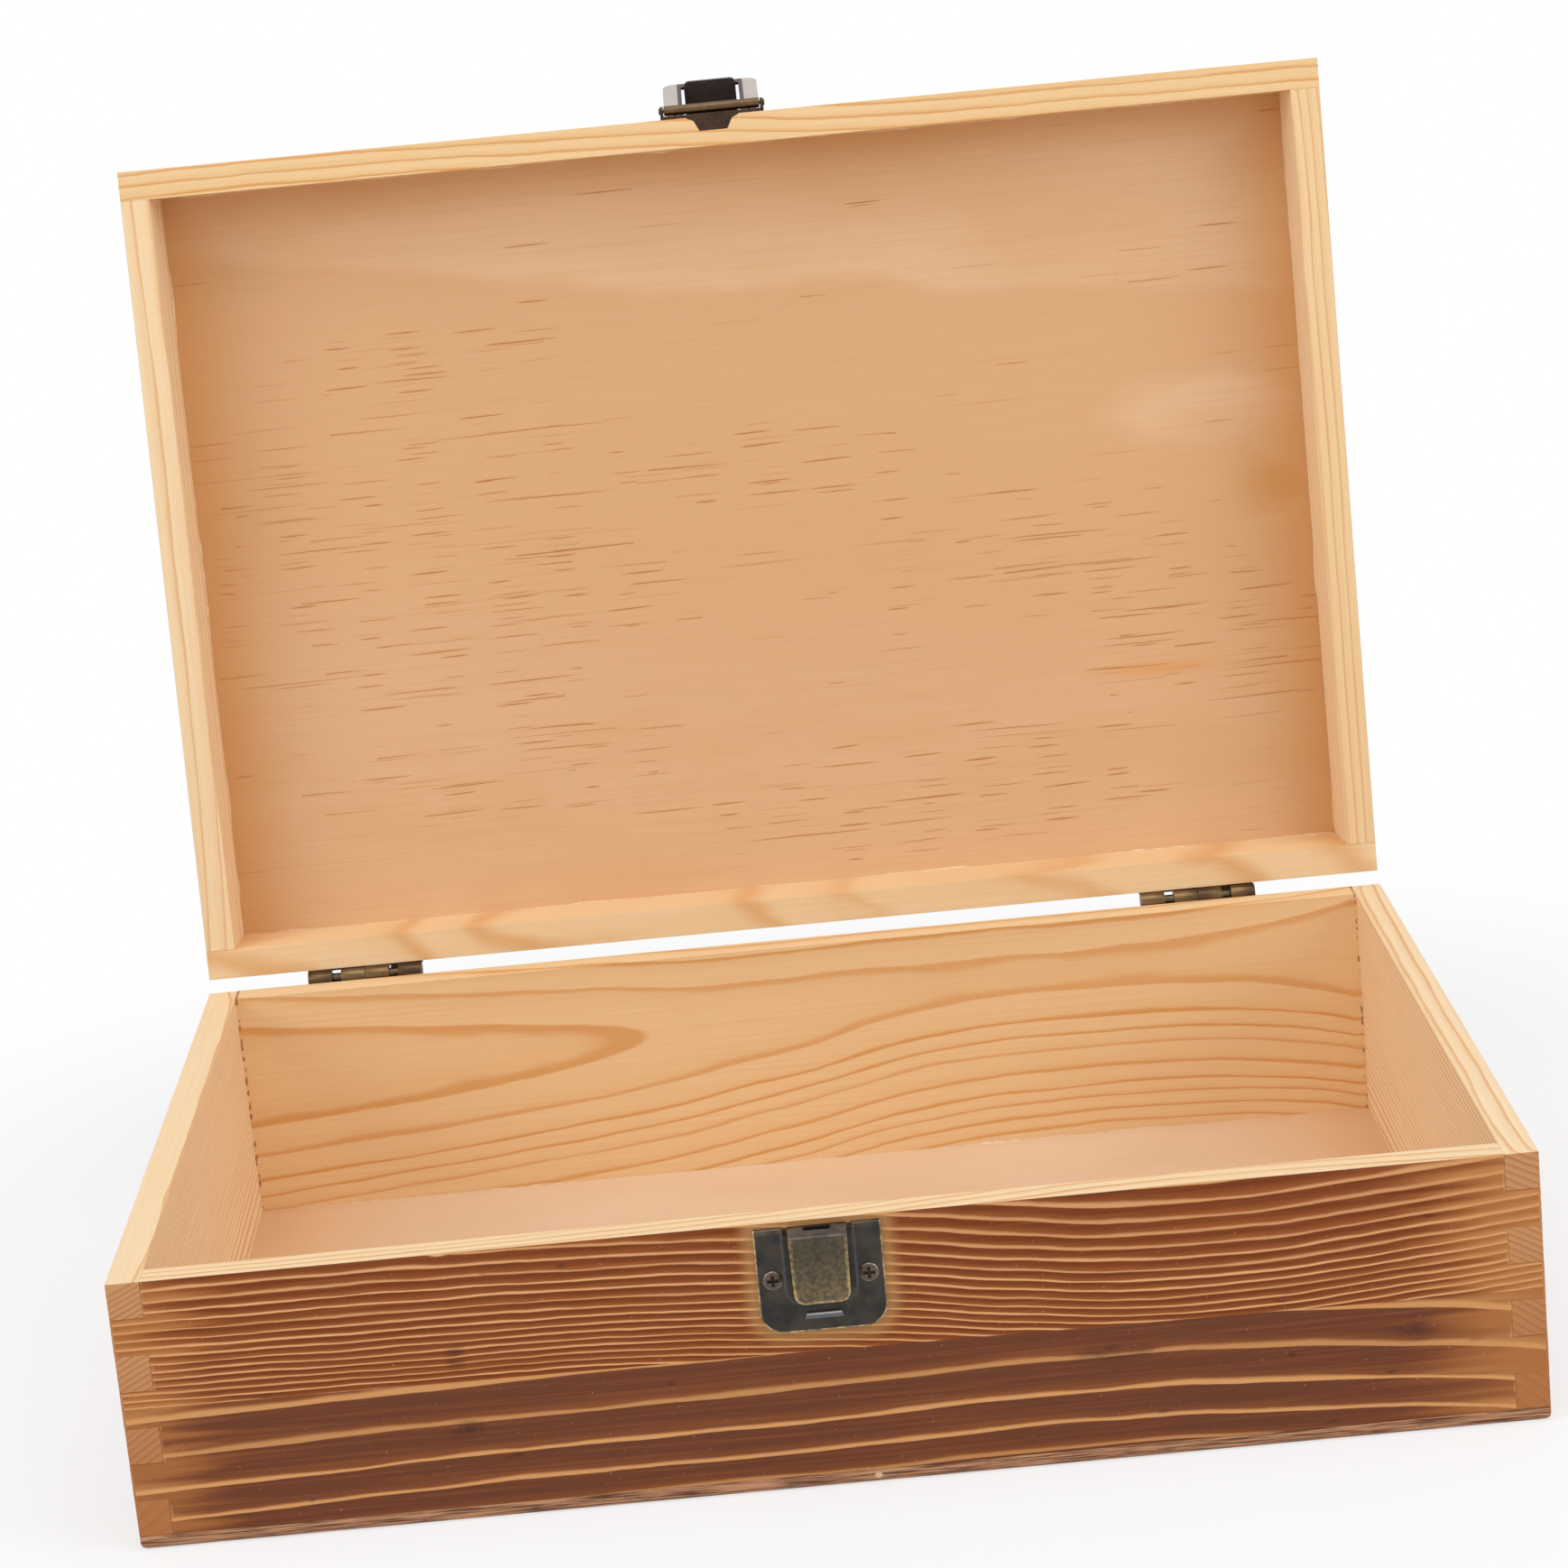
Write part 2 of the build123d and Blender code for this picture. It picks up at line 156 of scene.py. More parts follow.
def length(tree, x, y):
    """The length of a flat vector, by the rule of the right triangle."""
    flat = join(tree, x, y, 0.0)
    return place(tree, "VectorMath", flat, operation="LENGTH").outputs["Value"]


print("arithmetic ready")


# %% Helpers for patterns
def noise(tree, vector, cell, detail=2.0, rough=0.5):
    """Smooth noise, mostly from 0.25 to 0.75, whose cells have the given sizes along x, y and z."""
    shrunk = place(tree, "Mapping", vector, None, None, [1 / size for size in cell]).outputs[0]
    node = place(tree, "TexNoise", shrunk)
    for name, value in (("Scale", 1.0), ("Detail", detail), ("Roughness", rough)):
        node.inputs[name].default_value = value
    return node.outputs[0]


def swing(tree, vector, cell, detail=2.0):
    """Noise less a half, so that it swings round nothing."""
    return minus(tree, noise(tree, vector, cell, detail), 0.5)


def curve(tree, value, points):
    """A smooth line through a few (x, y) points, level before the first and after the last."""
    xs, ys = np.array(points, float).T
    low, span = float(ys.min()), float(max(np.ptp(ys), 1e-6))
    share = place(tree, "MapRange", value, float(xs[0]), float(xs[-1])).outputs[0]
    node = place(tree, "FloatCurve", 1.0, share)
    line = node.mapping.curves[0]
    for _ in points[2:]:
        line.points.new(0.5, 0.5)
    for point, x, y in zip(line.points, (xs - xs[0]) / np.ptp(xs), (ys - low) / span):
        point.location = (x, y)
    node.mapping.update()
    return scaled(tree, node.outputs[0], span, low)


def oval(tree, across, up, spot, core=0.0):
    """A soft oval patch: 1 in its core, 0 outside; spot is its centre and its half sizes."""
    centre_across, centre_up, half_across, half_up = spot
    x = calc(tree, "DIVIDE", minus(tree, across, centre_across), half_across)
    y = calc(tree, "DIVIDE", minus(tree, up, centre_up), half_up)
    return ramp(tree, length(tree, x, y), core, 1.0, 1.0, 0.0)


def colour(red, green, blue):
    """A colour written as on a screen, 0 to 255, turned into the linear light that shaders use."""
    share = np.array([red, green, blue]) / 255
    linear = np.where(share <= 0.04045, share / 12.92, ((share + 0.055) / 1.055) ** 2.4)
    return (*linear.tolist(), 1.0)


print("a mid grey in linear light", round(colour(128, 128, 128)[0], 3))


# %% Helpers for node groups
def effect(name, inputs, outputs):
    """An empty node group with named sockets: its tree, its inputs by name, its outputs by name."""
    tree = bpy.data.node_groups.new(name, "ShaderNodeTree")
    for label, default in inputs.items():
        kind = "Float" if isinstance(default, float) else "Vector" if len(default) == 3 else "Color"
        socket = tree.interface.new_socket(label, in_out="INPUT", socket_type="NodeSocket" + kind)
        socket.default_value = default
    for label, kind in outputs.items():
        tree.interface.new_socket(label, in_out="OUTPUT", socket_type="NodeSocket" + kind)
    return tree, tree.nodes.new("NodeGroupInput").outputs, tree.nodes.new("NodeGroupOutput").inputs


def use(tree, group, **inputs):
    """Place a node group; an underscore in a name stands for a space. Gives its outputs by name."""
    node = place(tree, "Group", node_tree=group)
    for name, value in inputs.items():
        feed(tree, node.inputs[name.replace("_", " ")], value)
    return node.outputs


origin = (0.0, 0.0, 0.0)
print("groups so far:", len(bpy.data.node_groups))

# %% [markdown]
# ## Growth rings
# A tree grows in rings round its pith, and a board is a flat cut through them. So the rings are
# worked out in space, not painted on a face: the radius of a point is its distance from the pith,
# which runs along the board, and each face then shows lines, tongues or end grain by itself. Painted
# stripes would be quicker, but they would not meet at the edges.

# %% Growth rings
slow_cells, quick_cells, tremble_cells = (95, 30, 30), (24, 7, 7), (6, 2.5, 2.5)
quick_share, tremble_share = 0.34, 0.10
tree, given, out = effect(
    "Growth Rings",
    {"Grain": origin, "Pith Height": 0.0, "Pith Depth": 0.0, "Drift": 0.0, "Wobble": 1.0},
    {"Radius": "Float"},
)
_, height, depth = split(tree, given["Grain"])
slow = swing(tree, given["Grain"], slow_cells)
quick = swing(tree, given["Grain"], quick_cells)
tremble = swing(tree, given["Grain"], tremble_cells)
shake = scaled(tree, tremble, tremble_share, scaled(tree, quick, quick_share, slow))
rise = minus(tree, height, given["Pith Height"])
reach = minus(tree, depth, given["Pith Depth"])
radius = calc(tree, "ADD", length(tree, rise, reach), given["Drift"])
feed(tree, out["Radius"], scaled(tree, shake, given["Wobble"], radius))
growth_rings = tree
print("group:", growth_rings.name)

# %% [markdown]
# ## Early and late wood
# Each ring starts with soft early wood and ends in a hard line of late wood, with a gradual start and
# a sudden stop. The fraction of the ring count says where in the ring a point lies. The width of
# the line wanders along the ring, and each ring has its own strength.

# %% Ring bands
lane_step = 7.3
waver_cells, waver_gain, waver_least = (40, 1, 1), 1.7, 0.15
full_share, weakest_ring, ring_luck = 0.45, 0.60, 0.40
tree, given, out = effect(
    "Ring Bands",
    {"Grain": origin, "Count": 0.0, "Late Share": 0.3, "Glow Share": 0.7, "Edge": 0.05},
    {"Latewood": "Float", "Glow": "Float"},
)
turn = calc(tree, "FRACT", given["Count"])
ring_number = calc(tree, "FLOOR", given["Count"])
lane = join(tree, split(tree, given["Grain"])[0], times(tree, ring_number, lane_step), 0.0)
waver = scaled(tree, noise(tree, lane, waver_cells), waver_gain, waver_least)
share = times(tree, given["Late Share"], waver)
full = scaled(tree, share, -full_share, 1.0)
crest = rest_of(tree, given["Edge"])
drop = ramp(tree, turn, crest, 1.0, 1.0, 0.0)
luck = place(tree, "TexWhiteNoise", None, ring_number, noise_dimensions="1D").outputs[0]
strength = scaled(tree, luck, ring_luck, weakest_ring)
line = times(tree, ramp(tree, turn, rest_of(tree, share), full), drop)
feed(tree, out["Latewood"], times(tree, line, strength))
bloom = ramp(tree, turn, rest_of(tree, given["Glow Share"]), crest)
feed(tree, out["Glow"], times(tree, bloom, drop))
ring_bands = tree
print("group:", ring_bands.name)

# %% Fibres
streak_cells, fleck_cells, fibre_rough = (60, 0.9, 0.9), (9, 0.25, 0.25), 0.6
tree, given, out = effect("Wood Fibre", {"Grain": origin}, {"Streak": "Float", "Fleck": "Float"})
feed(tree, out["Streak"], noise(tree, given["Grain"], streak_cells, 3.0, fibre_rough))
feed(tree, out["Fleck"], noise(tree, given["Grain"], fleck_cells, 2.0, fibre_rough))
wood_fibre = tree
print("groups:", [group.name for group in bpy.data.node_groups])

# %% [markdown]
# ## Where the flame went
# The box was scorched while it was closed and whole. A point is scorched if it lies on the outside of
# that closed box, whatever board it belongs to, so one group measures how deep a point lies under
# the outside. Soot stays in the fine grooves of the joints, which lie a little under the skin.

# %% Outer skin
groove_step = (0.05, 0.17)


def from_sides(tree, x, y):
    """Depth under the upright faces: the lesser of the distances to the sides and to front and back."""
    return calc(tree, "MINIMUM", inside(tree, half_width, x), inside(tree, half_depth, y))


tree, given, out = effect(
    "Outer Skin", {"Closed Place": origin, "Skin": 0.3}, {"Scorch": "Float", "Groove": "Float"}
)
x, y, z = split(tree, given["Closed Place"])
from_ends = calc(tree, "MINIMUM", minus(tree, closed_height, z), z)
depth = calc(tree, "MINIMUM", from_sides(tree, x, y), from_ends)
twice = times(tree, given["Skin"], 2.0)
feed(tree, out["Scorch"], ramp(tree, depth, given["Skin"], twice, 1.0, 0.0))
feed(tree, out["Groove"], ramp(tree, depth, *groove_step))
outer_skin = tree
print("group:", outer_skin.name)

# %% [markdown]
# ## Distance from a plate
# Marks round a metal plate, and wear along its edge, follow its outline. The outline of a stamped plate
# is a rectangle with round corners, and the distance from it needs no texture: outside, it is
# the distance to the nearest inner corner point less the corner's radius.

# %% Plate distance
tree, given, out = effect(
    "Plate Distance",
    {"Across": 0.0, "Up": 0.0, "Half Width": 10.0, "Half Height": 10.0, "Corner": 2.0},
    {"Distance": "Float"},
)
over = []
for part, half in (("Across", "Half Width"), ("Up", "Half Height")):
    inner = minus(tree, given[half], given["Corner"])
    over.append(minus(tree, calc(tree, "ABSOLUTE", given[part]), inner))
past = length(tree, *[calc(tree, "MAXIMUM", value, 0.0) for value in over])
within = calc(tree, "MINIMUM", most(tree, *over), 0.0)
feed(tree, out["Distance"], minus(tree, calc(tree, "ADD", past, within), given["Corner"]))
plate_distance = tree


def plate_line(tree, closed, middle, outline):
    """Distance in millimetres from an outline round the latch's middle line, at a middle height."""
    x, _, z = split(tree, closed)
    across, up = minus(tree, x, latch_x), minus(tree, z, middle)
    return use(tree, plate_distance, Across=across, Up=up, **outline)["Distance"]


print("groups:", len(bpy.data.node_groups))

# %% [markdown]
# ## Raw and scorched pine
# Two groups turn rings and fibres into colour. Raw pine is pale, with orange late wood. Scorched pine
# is the other way round: brown early wood that glows orange towards each light line, darker where
# the flame stayed longer, lighter towards the corners and on end grain. Colour and height leave the
# groups; the shader itself stays in each material.

# %% Raw pine
raw_light, raw_line, raw_pale = colour(239, 204, 154), colour(217, 153, 82), colour(249, 227, 192)
raw_streak, raw_fleck = (0.3, 0.75, 0.0, 0.16), (0.60, 0.78, 0.0, 0.08)
raw_bloom, late_lift, fleck_lift = 0.26, 0.4, 0.5
tree, given, out = effect(
    "Raw Pine",
    {"Latewood": 0.0, "Glow": 0.0, "Streak": 0.5, "Fleck": 0.5, "Contrast": 1.0, "Pale": 0.0},
    {"Color": "Color", "Height": "Float"},
)
early = mix(tree, given["Pale"], raw_light, raw_pale)
streaky = mix(tree, ramp(tree, given["Streak"], *raw_streak), early, raw_line)
bloom = times(tree, given["Glow"], times(tree, given["Contrast"], raw_bloom))
warm = mix(tree, bloom, streaky, raw_line)
ringed = mix(tree, times(tree, given["Latewood"], given["Contrast"]), warm, raw_line)
feed(tree, out["Color"], mix(tree, ramp(tree, given["Fleck"], *raw_fleck), ringed, raw_line))
rough_fibre = scaled(tree, given["Fleck"], fleck_lift, given["Streak"])
feed(tree, out["Height"], scaled(tree, given["Latewood"], late_lift, rough_fibre))
raw_pine = tree
print("raw pine", [round(part, 3) for part in raw_light[:3]])

# %% Scorched pine
burnt, burnt_deep, soot_black = colour(118, 53, 10), colour(104, 57, 36), colour(52, 31, 25)
burnt_glow, burnt_line, burnt_pale = colour(168, 98, 46), colour(218, 158, 98), colour(196, 136, 80)
burnt_bright, dust_grey = colour(234, 174, 120), colour(206, 176, 152)
burnt_streak, burnt_fleck = (0.42, 0.74, 0.0, 0.30), (0.60, 0.80, 0.0, 0.20)
full_bloom, deep_loss, line_lift = 0.75, 0.35, 1.6
tree, given, out = effect(
    "Scorched Pine",
    {"Latewood": 0.0, "Glow": 0.0, "Streak": 0.5, "Fleck": 0.5, "Deep": 0.0, "Spare": 0.0, "Soot": 0.0,
     "Dust": 0.0},
    {"Color": "Color", "Height": "Float"},
)
brown = mix(tree, given["Deep"], burnt, burnt_deep)
streaky = mix(tree, ramp(tree, given["Streak"], *burnt_streak), brown, burnt_glow)
bloom = times(tree, given["Glow"], scaled(tree, given["Deep"], -deep_loss, full_bloom))
line = mix(tree, given["Deep"], burnt_bright, burnt_line)
lined = mix(tree, given["Latewood"], mix(tree, bloom, streaky, burnt_glow), line)
soft = mix(tree, given["Latewood"], mix(tree, given["Glow"], burnt_glow, burnt_pale), burnt_line)
spared = mix(tree, given["Spare"], lined, soft)
flecked = mix(tree, ramp(tree, given["Fleck"], *burnt_fleck), spared, burnt_deep)
sooty = mix(tree, given["Soot"], flecked, soot_black)
feed(tree, out["Color"], mix(tree, given["Dust"], sooty, dust_grey))
feed(tree, out["Height"], scaled(tree, given["Latewood"], line_lift, given["Streak"]))
scorched_pine = tree
print("scorched pine", [round(part, 3) for part in burnt[:3]])

# %% [markdown]
# ## Places on a board
# Each board has its own directions: along the grain, up the face, and in from the outside. The
# textures read Object coordinates, which for these pieces are the metres of the shared frame. A
# Mapping node turns them into millimetres of the closed box; a point of the lid is swung back shut.

# %% Coordinates
usual_glow = 0.8


def closed_place(tree, on_lid):
    """Object coordinates in millimetres of the closed box; a lid point is turned back about the hinge."""
    node = place(tree, "Mapping", place(tree, "TexCoord").outputs["Object"])
    node.inputs["Scale"].default_value = (1 / MM,) * 3
    if on_lid:
        node.inputs["Rotation"].default_value = (lid_angle, 0, 0)
        back_y = hinge_y - (cos(lid_angle) * hinge_y - sin(lid_angle) * hinge_z)
        back_z = hinge_z - (sin(lid_angle) * hinge_y + cos(lid_angle) * hinge_z)
        node.inputs["Location"].default_value = (0, back_y, back_z)
    return node.outputs[0]


def board_place(tree, closed, face):
    """Along the grain, up the face, in from the outside, for a board on one of the four faces."""
    x, y, z = split(tree, closed)
    sense = 1 if face in ("front", "left") else -1
    if face in ("front", "back"):
        return x, z, scaled(tree, y, sense, half_depth)
    return y, z, scaled(tree, x, sense, half_width)


def ring_masks(tree, grain, rings):
    """Late wood and glow of one strip of wood, from its pith, drift along the grain and ring count."""
    along = split(tree, grain)[0]
    pith, drift = rings["pith_height"], rings["drift"]
    radius = use(
        tree, growth_rings, Grain=grain, Pith_Depth=rings["pith_depth"], Wobble=rings["wobble"],
        Pith_Height=curve(tree, along, pith) if isinstance(pith, list) else pith,
        Drift=curve(tree, along, drift),
    )["Radius"]
    bands = use(
        tree, ring_bands, Grain=grain, Count=curve(tree, radius, rings["count"]),
        Late_Share=rings["late"], Glow_Share=rings.get("glow", usual_glow), Edge=rings["edge"],
    )
    return bands["Latewood"], bands["Glow"]


def even_rings(spacing, low, high):
    """A ring count that grows evenly with the radius."""
    return [(low, low / spacing), (high, high / spacing)]


print("rings in 40 mm at 2 mm each:", even_rings(2.0, 0, 40)[1][1])

# %% [markdown]
# ## The boards of the box
# No two boards come from the same place in the tree, so each has its own pith, drift and ring count,
# in millimetres. The front is glued up from two strips: slow-grown wood with close lines above,
# fast-grown wood with broad bands below. The back shows a long tongue where the cut passed near
# the pith.

# %% Rings of the box
front_upper = {
    "pith_height": 187.0, "pith_depth": -120.0, "wobble": 2.2, "late": 0.36, "glow": 0.85, "edge": 0.09,
    "contrast": 0.85, "sawn": 0.65, "pale": 0.3,
    "drift": [(-165, 0), (-91, -0.6), (-50, -1.4), (-16, -3.2), (15, -5.7), (45, -8.8), (74, -11.0),
              (95, -11.2), (120, -10.3), (165, -8.1)],
    "count": [(155.6, -5.2), (169.7, 0.0), (180.4, 5.74), (191.6, 13.6), (209.0, 27.0)],
}
front_lower = {
    "pith_height": 187.0, "pith_depth": -60.0, "wobble": 2.2, "late": 0.21, "glow": 0.50, "edge": 0.03,
    "drift": [(-165, -3.8), (-81, -1.9), (3, -0.9), (56, 0.0), (98, -1.5), (165, -8.0)],
    "count": [(152.0, 0.0), (163.0, 1.0), (171.7, 2.0), (179.6, 3.0), (186.4, 4.0), (192.2, 5.0),
              (205.0, 7.0)],
}
back_rings = {
    "pith_height": [(-165, 43.0), (-50, 43.9), (-10, 46.4), (75, 52.3), (155, 51.0)],
    "pith_depth": 16.4, "wobble": 3.0, "late": 0.26, "glow": 0.7, "edge": 0.05, "contrast": 0.8,
    "sawn": 0.2, "pale": 0.1,
    "drift": [(-157, 0), (-50, 8.0), (-10, 11.5), (75, 15.5), (155, 9.4)],
    "count": [(2.0, -0.2), (17.5, 1), (25.7, 2), (32.2, 3), (36.4, 4), (40.4, 5), (46.3, 6), (51.2, 7),
              (54.5, 8), (80.0, 14)],
}
left_rings = {
    "pith_height": -80.0, "pith_depth": 70.0, "wobble": 1.6, "late": 0.36, "edge": 0.10, "contrast": 0.8,
    "sawn": 0.6, "pale": 1.0,
    "drift": [(-113, 0), (0, 0.8), (113, -0.6)],
    "count": [(80, 0), (104, 7), (118, 12), (136, 24), (160, 42)],
}
right_rings = {
    "pith_height": -85.0, "pith_depth": 78.0, "wobble": 1.4, "late": 0.34, "edge": 0.10, "contrast": 0.8,
    "sawn": 0.75, "pale": 1.0,
    "drift": [(-113, -0.5), (-20, 0.6), (113, 0)],
    "count": [(80, 0), (112, 7), (122, 10.5), (160, 34), (190, 52)],
}
print("rings for two front strips and three walls")

# %% Rings of the lid rails
lid_front_rings = {
    "pith_height": 130.0, "pith_depth": -95.0, "wobble": 2.6, "late": 0.28, "edge": 0.06, "contrast": 1.0,
    "sawn": 0.0, "pale": 0.0,
    "drift": [(-165, 0), (-60, -0.8), (0, -3.0), (60, -6.2), (165, -7.0)],
    "count": even_rings(2.8, 60, 200),
    "outside": {**front_upper, "count": [(130.0, -14.6), *front_upper["count"]]},
}
lid_back_rings = {
    "pith_height": 107.0, "pith_depth": -160.0, "wobble": 15.0, "late": 0.50, "edge": 0.30, "contrast": 0.6,
    "sawn": 0.35, "pale": 0.2,
    "drift": [(-165, 0), (-128, 9), (-70, 50), (-28, 58), (34, 100), (82, 112), (165, 160)],
    "count": even_rings(22.0, 60, 400), "outside": back_rings,
}
lid_left_rings = {
    "pith_height": 120.0, "pith_depth": -60.0, "wobble": 2.0, "late": 0.24, "edge": 0.08, "contrast": 0.6,
    "sawn": 0.5, "pale": 0.9,
    "drift": [(-113, 0), (30, 0), (113, 2.6)], "count": even_rings(3.6, 40, 200),
}
lid_right_rings = {
    "pith_height": 120.0, "pith_depth": -70.0, "wobble": 1.6, "late": 0.28, "edge": 0.08, "contrast": 0.6,
    "sawn": 0.15, "pale": 1.0,
    "drift": [(-113, -2.0), (-40, 0.4), (113, 0)], "count": even_rings(2.1, 40, 200),
}
boards = {
    "front_wall": ("front", front_upper, front_lower),
    "back_wall": ("back", back_rings, None),
    "left_wall": ("left", left_rings, None),
    "right_wall": ("right", right_rings, None),
    "lid_front_rail": ("front", lid_front_rings, None),
    "lid_back_rail": ("back", lid_back_rings, None),
    "lid_left_rail": ("left", lid_left_rings, None),
    "lid_right_rail": ("right", lid_right_rings, None),
}
print("boards:", len(boards))

# %% [markdown]
# ## Board material
# One function makes the material of every board: raw pine inside, paler on the sawn rims as a painted
# sheen of the light on these upward faces, scorched pine on the outside. The lid's front and back rails
# were sawn from the same boards as the walls below them, so outside they take those walls' rings, and
# the lines run on across the saw cut; the side rails have one set of rings inside and out. The keeper
# was on the box when the flame passed, so the wood round it was spared. The bump follows the fibres:
# late wood stands proud of the burnt early wood.

# %% Materials in general
pine_rough, ply_rough, wood_specular = 0.62, 0.6, 0.22


def finish_material(name, roughness, specular):
    """A new material with its tree and its shader, plain values on the shader's own sockets."""
    material = bpy.data.materials.new(name)
    material.use_nodes = True
    shader = material.node_tree.nodes["Principled BSDF"]
    shader.inputs["Roughness"].default_value = roughness
    shader.inputs["Specular IOR Level"].default_value = specular
    return material, material.node_tree, shader


def bump(tree, shader, height, distance):
    """Feed a height, in units of the distance in millimetres, to the shader as a bump."""
    node = place(tree, "Bump")
    feed(tree, node.inputs["Distance"], distance * MM)
    feed(tree, node.inputs["Height"], height)
    feed(tree, shader.inputs["Normal"], node.outputs[0])


def dress(name, material):
    """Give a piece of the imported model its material."""
    mesh = pieces[name].data
    mesh.materials.clear()
    mesh.materials.append(material)


print("roughness of pine and plywood:", pine_rough, ply_rough)

# %% Raw side of a board
torn = colour(130, 86, 50)
torn_cells, torn_step = (1.4, 30, 1.7), (0.53, 0.62, 0.0, 0.8)
torn_start, torn_full, corner_fade, corner_end = -0.9, -0.3, 0.05, 0.15
rim_sheen_skin, saw_cells, saw_lift = (0.1, 0.3, 1.0, 0.0), (0.8, 40, 40), 0.7
inner_end = half_width - wall


def from_rim(tree, name, height):
    """Distance of a height from the sawn rim of the box or of the lid."""
    return apart(tree, height, lid_rim_height if name.startswith("lid") else rim_height)


def torn_fibres(tree, closed):
    """Mask of torn fibres at the inner joints: a narrow strip up to the corner, broken by noise."""
    aside = calc(tree, "ABSOLUTE", split(tree, closed)[0])
    strip = times(
        tree, ramp(tree, aside, inner_end + torn_start, inner_end + torn_full),
        ramp(tree, aside, inner_end + corner_fade, inner_end + corner_end, 1.0, 0.0),
    )
    return times(tree, strip, ramp(tree, noise(tree, closed, torn_cells, 2.0), *torn_step))


def raw_side(tree, name, closed, grain, masks, fibre, rings):
    """Colour and height of the raw wood: pine, painted paler on the sawn rim as a sheen, torn at the inner
    joints.
    """
    # The rim is painted paler: a painted sheen of the light on the upward face; the saw marks are its bump.
    on_rim = ramp(tree, from_rim(tree, name, split(tree, closed)[2]), *rim_sheen_skin)
    raw = use(
        tree, raw_pine, Latewood=masks[0], Glow=masks[1], Streak=fibre["Streak"], Fleck=fibre["Fleck"],
        Contrast=rings["contrast"], Pale=between(tree, on_rim, rings["pale"], rings["sawn"]),
    )
    shade = raw["Color"]
    if name in ("front_wall", "back_wall"):
        shade = mix(tree, torn_fibres(tree, closed), shade, torn)
    saw_marks = times(tree, noise(tree, grain, saw_cells, 1.0), on_rim)
    return shade, scaled(tree, saw_marks, saw_lift, raw["Height"])


print("torn fibres", [round(part, 3) for part in torn[:3]])

# %% Ends of a board
fade_cells, fade_step = (70, 3.2, 3.2), (0.3, 0.7, -6.0, 12.0)
fade_reach, most_spared = (22.0, 33.0), (0.7, 0.82)
end_pale, end_line, joint_pale = colour(204, 149, 101), colour(156, 101, 63), colour(204, 154, 106)
end_glow, end_late, browner_below = 0.5, 0.8, (5.0, 55.0, 0.7, 0.0)
joint_cells, joint_broken = (0.8, 0.8, 3.0), (0.42, 0.66, 0.0, 0.6)
joint_gap, joint_step = 0.3, (0.1, 0.35, 1.0, 0.0)


def spared_ends(tree, grain, end_gap):
    """Share that the flame spared: most at the end, none past a reach that wavers; more on the far end."""
    waver = ramp(tree, noise(tree, grain, fade_cells, 3.0), *fade_step)
    far_end = calc(tree, "GREATER_THAN", split(tree, grain)[0], 0.0)
    reach, most_here = between(tree, far_end, *fade_reach), between(tree, far_end, *most_spared)
    return ramp(tree, minus(tree, end_gap, waver), 0.0, reach, most_here, 0.0)


def end_grain(tree, height, masks):
    """Colour of a finger's end: pale wood with its rings as lines, browner towards the floor."""
    rings = most(tree, times(tree, masks[1], end_glow), times(tree, masks[0], end_late))
    wood = mix(tree, rings, end_pale, end_line)
    return mix(tree, ramp(tree, height, *browner_below), wood, burnt_glow)


def joint_line(tree, closed, height, end_gap):
    """Mask of pale splinters beside each socket: one wall in from the end, every second finger, broken."""
    from_socket = apart(tree, end_gap, wall + joint_gap)
    band = calc(tree, "DIVIDE", minus(tree, rim_height, height), 2 * finger)
    in_socket = calc(tree, "LESS_THAN", calc(tree, "FRACT", band), 0.5)
    line = times(tree, ramp(tree, from_socket, *joint_step), in_socket)
    return times(tree, line, ramp(tree, noise(tree, closed, joint_cells, 3.0), *joint_broken))


print("spared at the ends over", fade_reach, "mm")

# %% Marks on the front
keeper_outline = {"Half_Width": 14.7, "Half_Height": 15.75, "Corner": 5.5}
keeper_middle, keeper_top = 55.45, 64.9
# The first step paints the keeper's shadow on the wood inside its outline.
keeper_shadow_step, halo_step, halo_tan = (-0.6, -0.1, 0.8, 0.0), (0.0, 5.0, 0.7, 0.0), colour(190, 143, 88)
smudges = [(-86, 23, 5.5, 3.6), (-87, 41, 3.5, 5.0), (134, 26, 8, 4.0), (65, 27, 14, 3.5)]
speckle_cells, speckle_step = (5, 2, 2), (0.35, 0.65, 0.25, 0.75)


def front_marks(tree, closed, grain):
    """Masks of the keeper's painted shadow, of the speckled smudges and of the bare halo round the keeper.
    """
    along, height, _ = split(tree, grain)
    gap = plate_line(tree, closed, keeper_middle, keeper_outline)
    below_top = calc(tree, "LESS_THAN", height, keeper_top)
    # Painted shadow: the wood inside the keeper's outline, seen through its gaps, is darkened like soot.
    under = times(tree, ramp(tree, gap, *keeper_shadow_step), below_top)
    patches = most(tree, *[oval(tree, along, height, smudge) for smudge in smudges])
    speckle = ramp(tree, noise(tree, grain, speckle_cells, 3.0), *speckle_step)
    halo = times(tree, ramp(tree, gap, *halo_step), rest_of(tree, under))
    return under, times(tree, patches, speckle), halo


print("smudges on the front:", len(smudges))

# %% Scorched side of a board
spot_cells, soot_spots = (9, 3.5, 3.5), (0.72, 0.84, 0.0, 0.6)
dust_cells, dust_step = (0.6, 0.6, 0.6), (0.76, 0.82, 0.0, 0.6)
groove_clear, groove_soot = (0.3, 0.6), 0.7
end_skin, rim_skin, spared_glow = (0.3, 0.6, 0.9, 0.0), (0.02, 0.2), 0.55


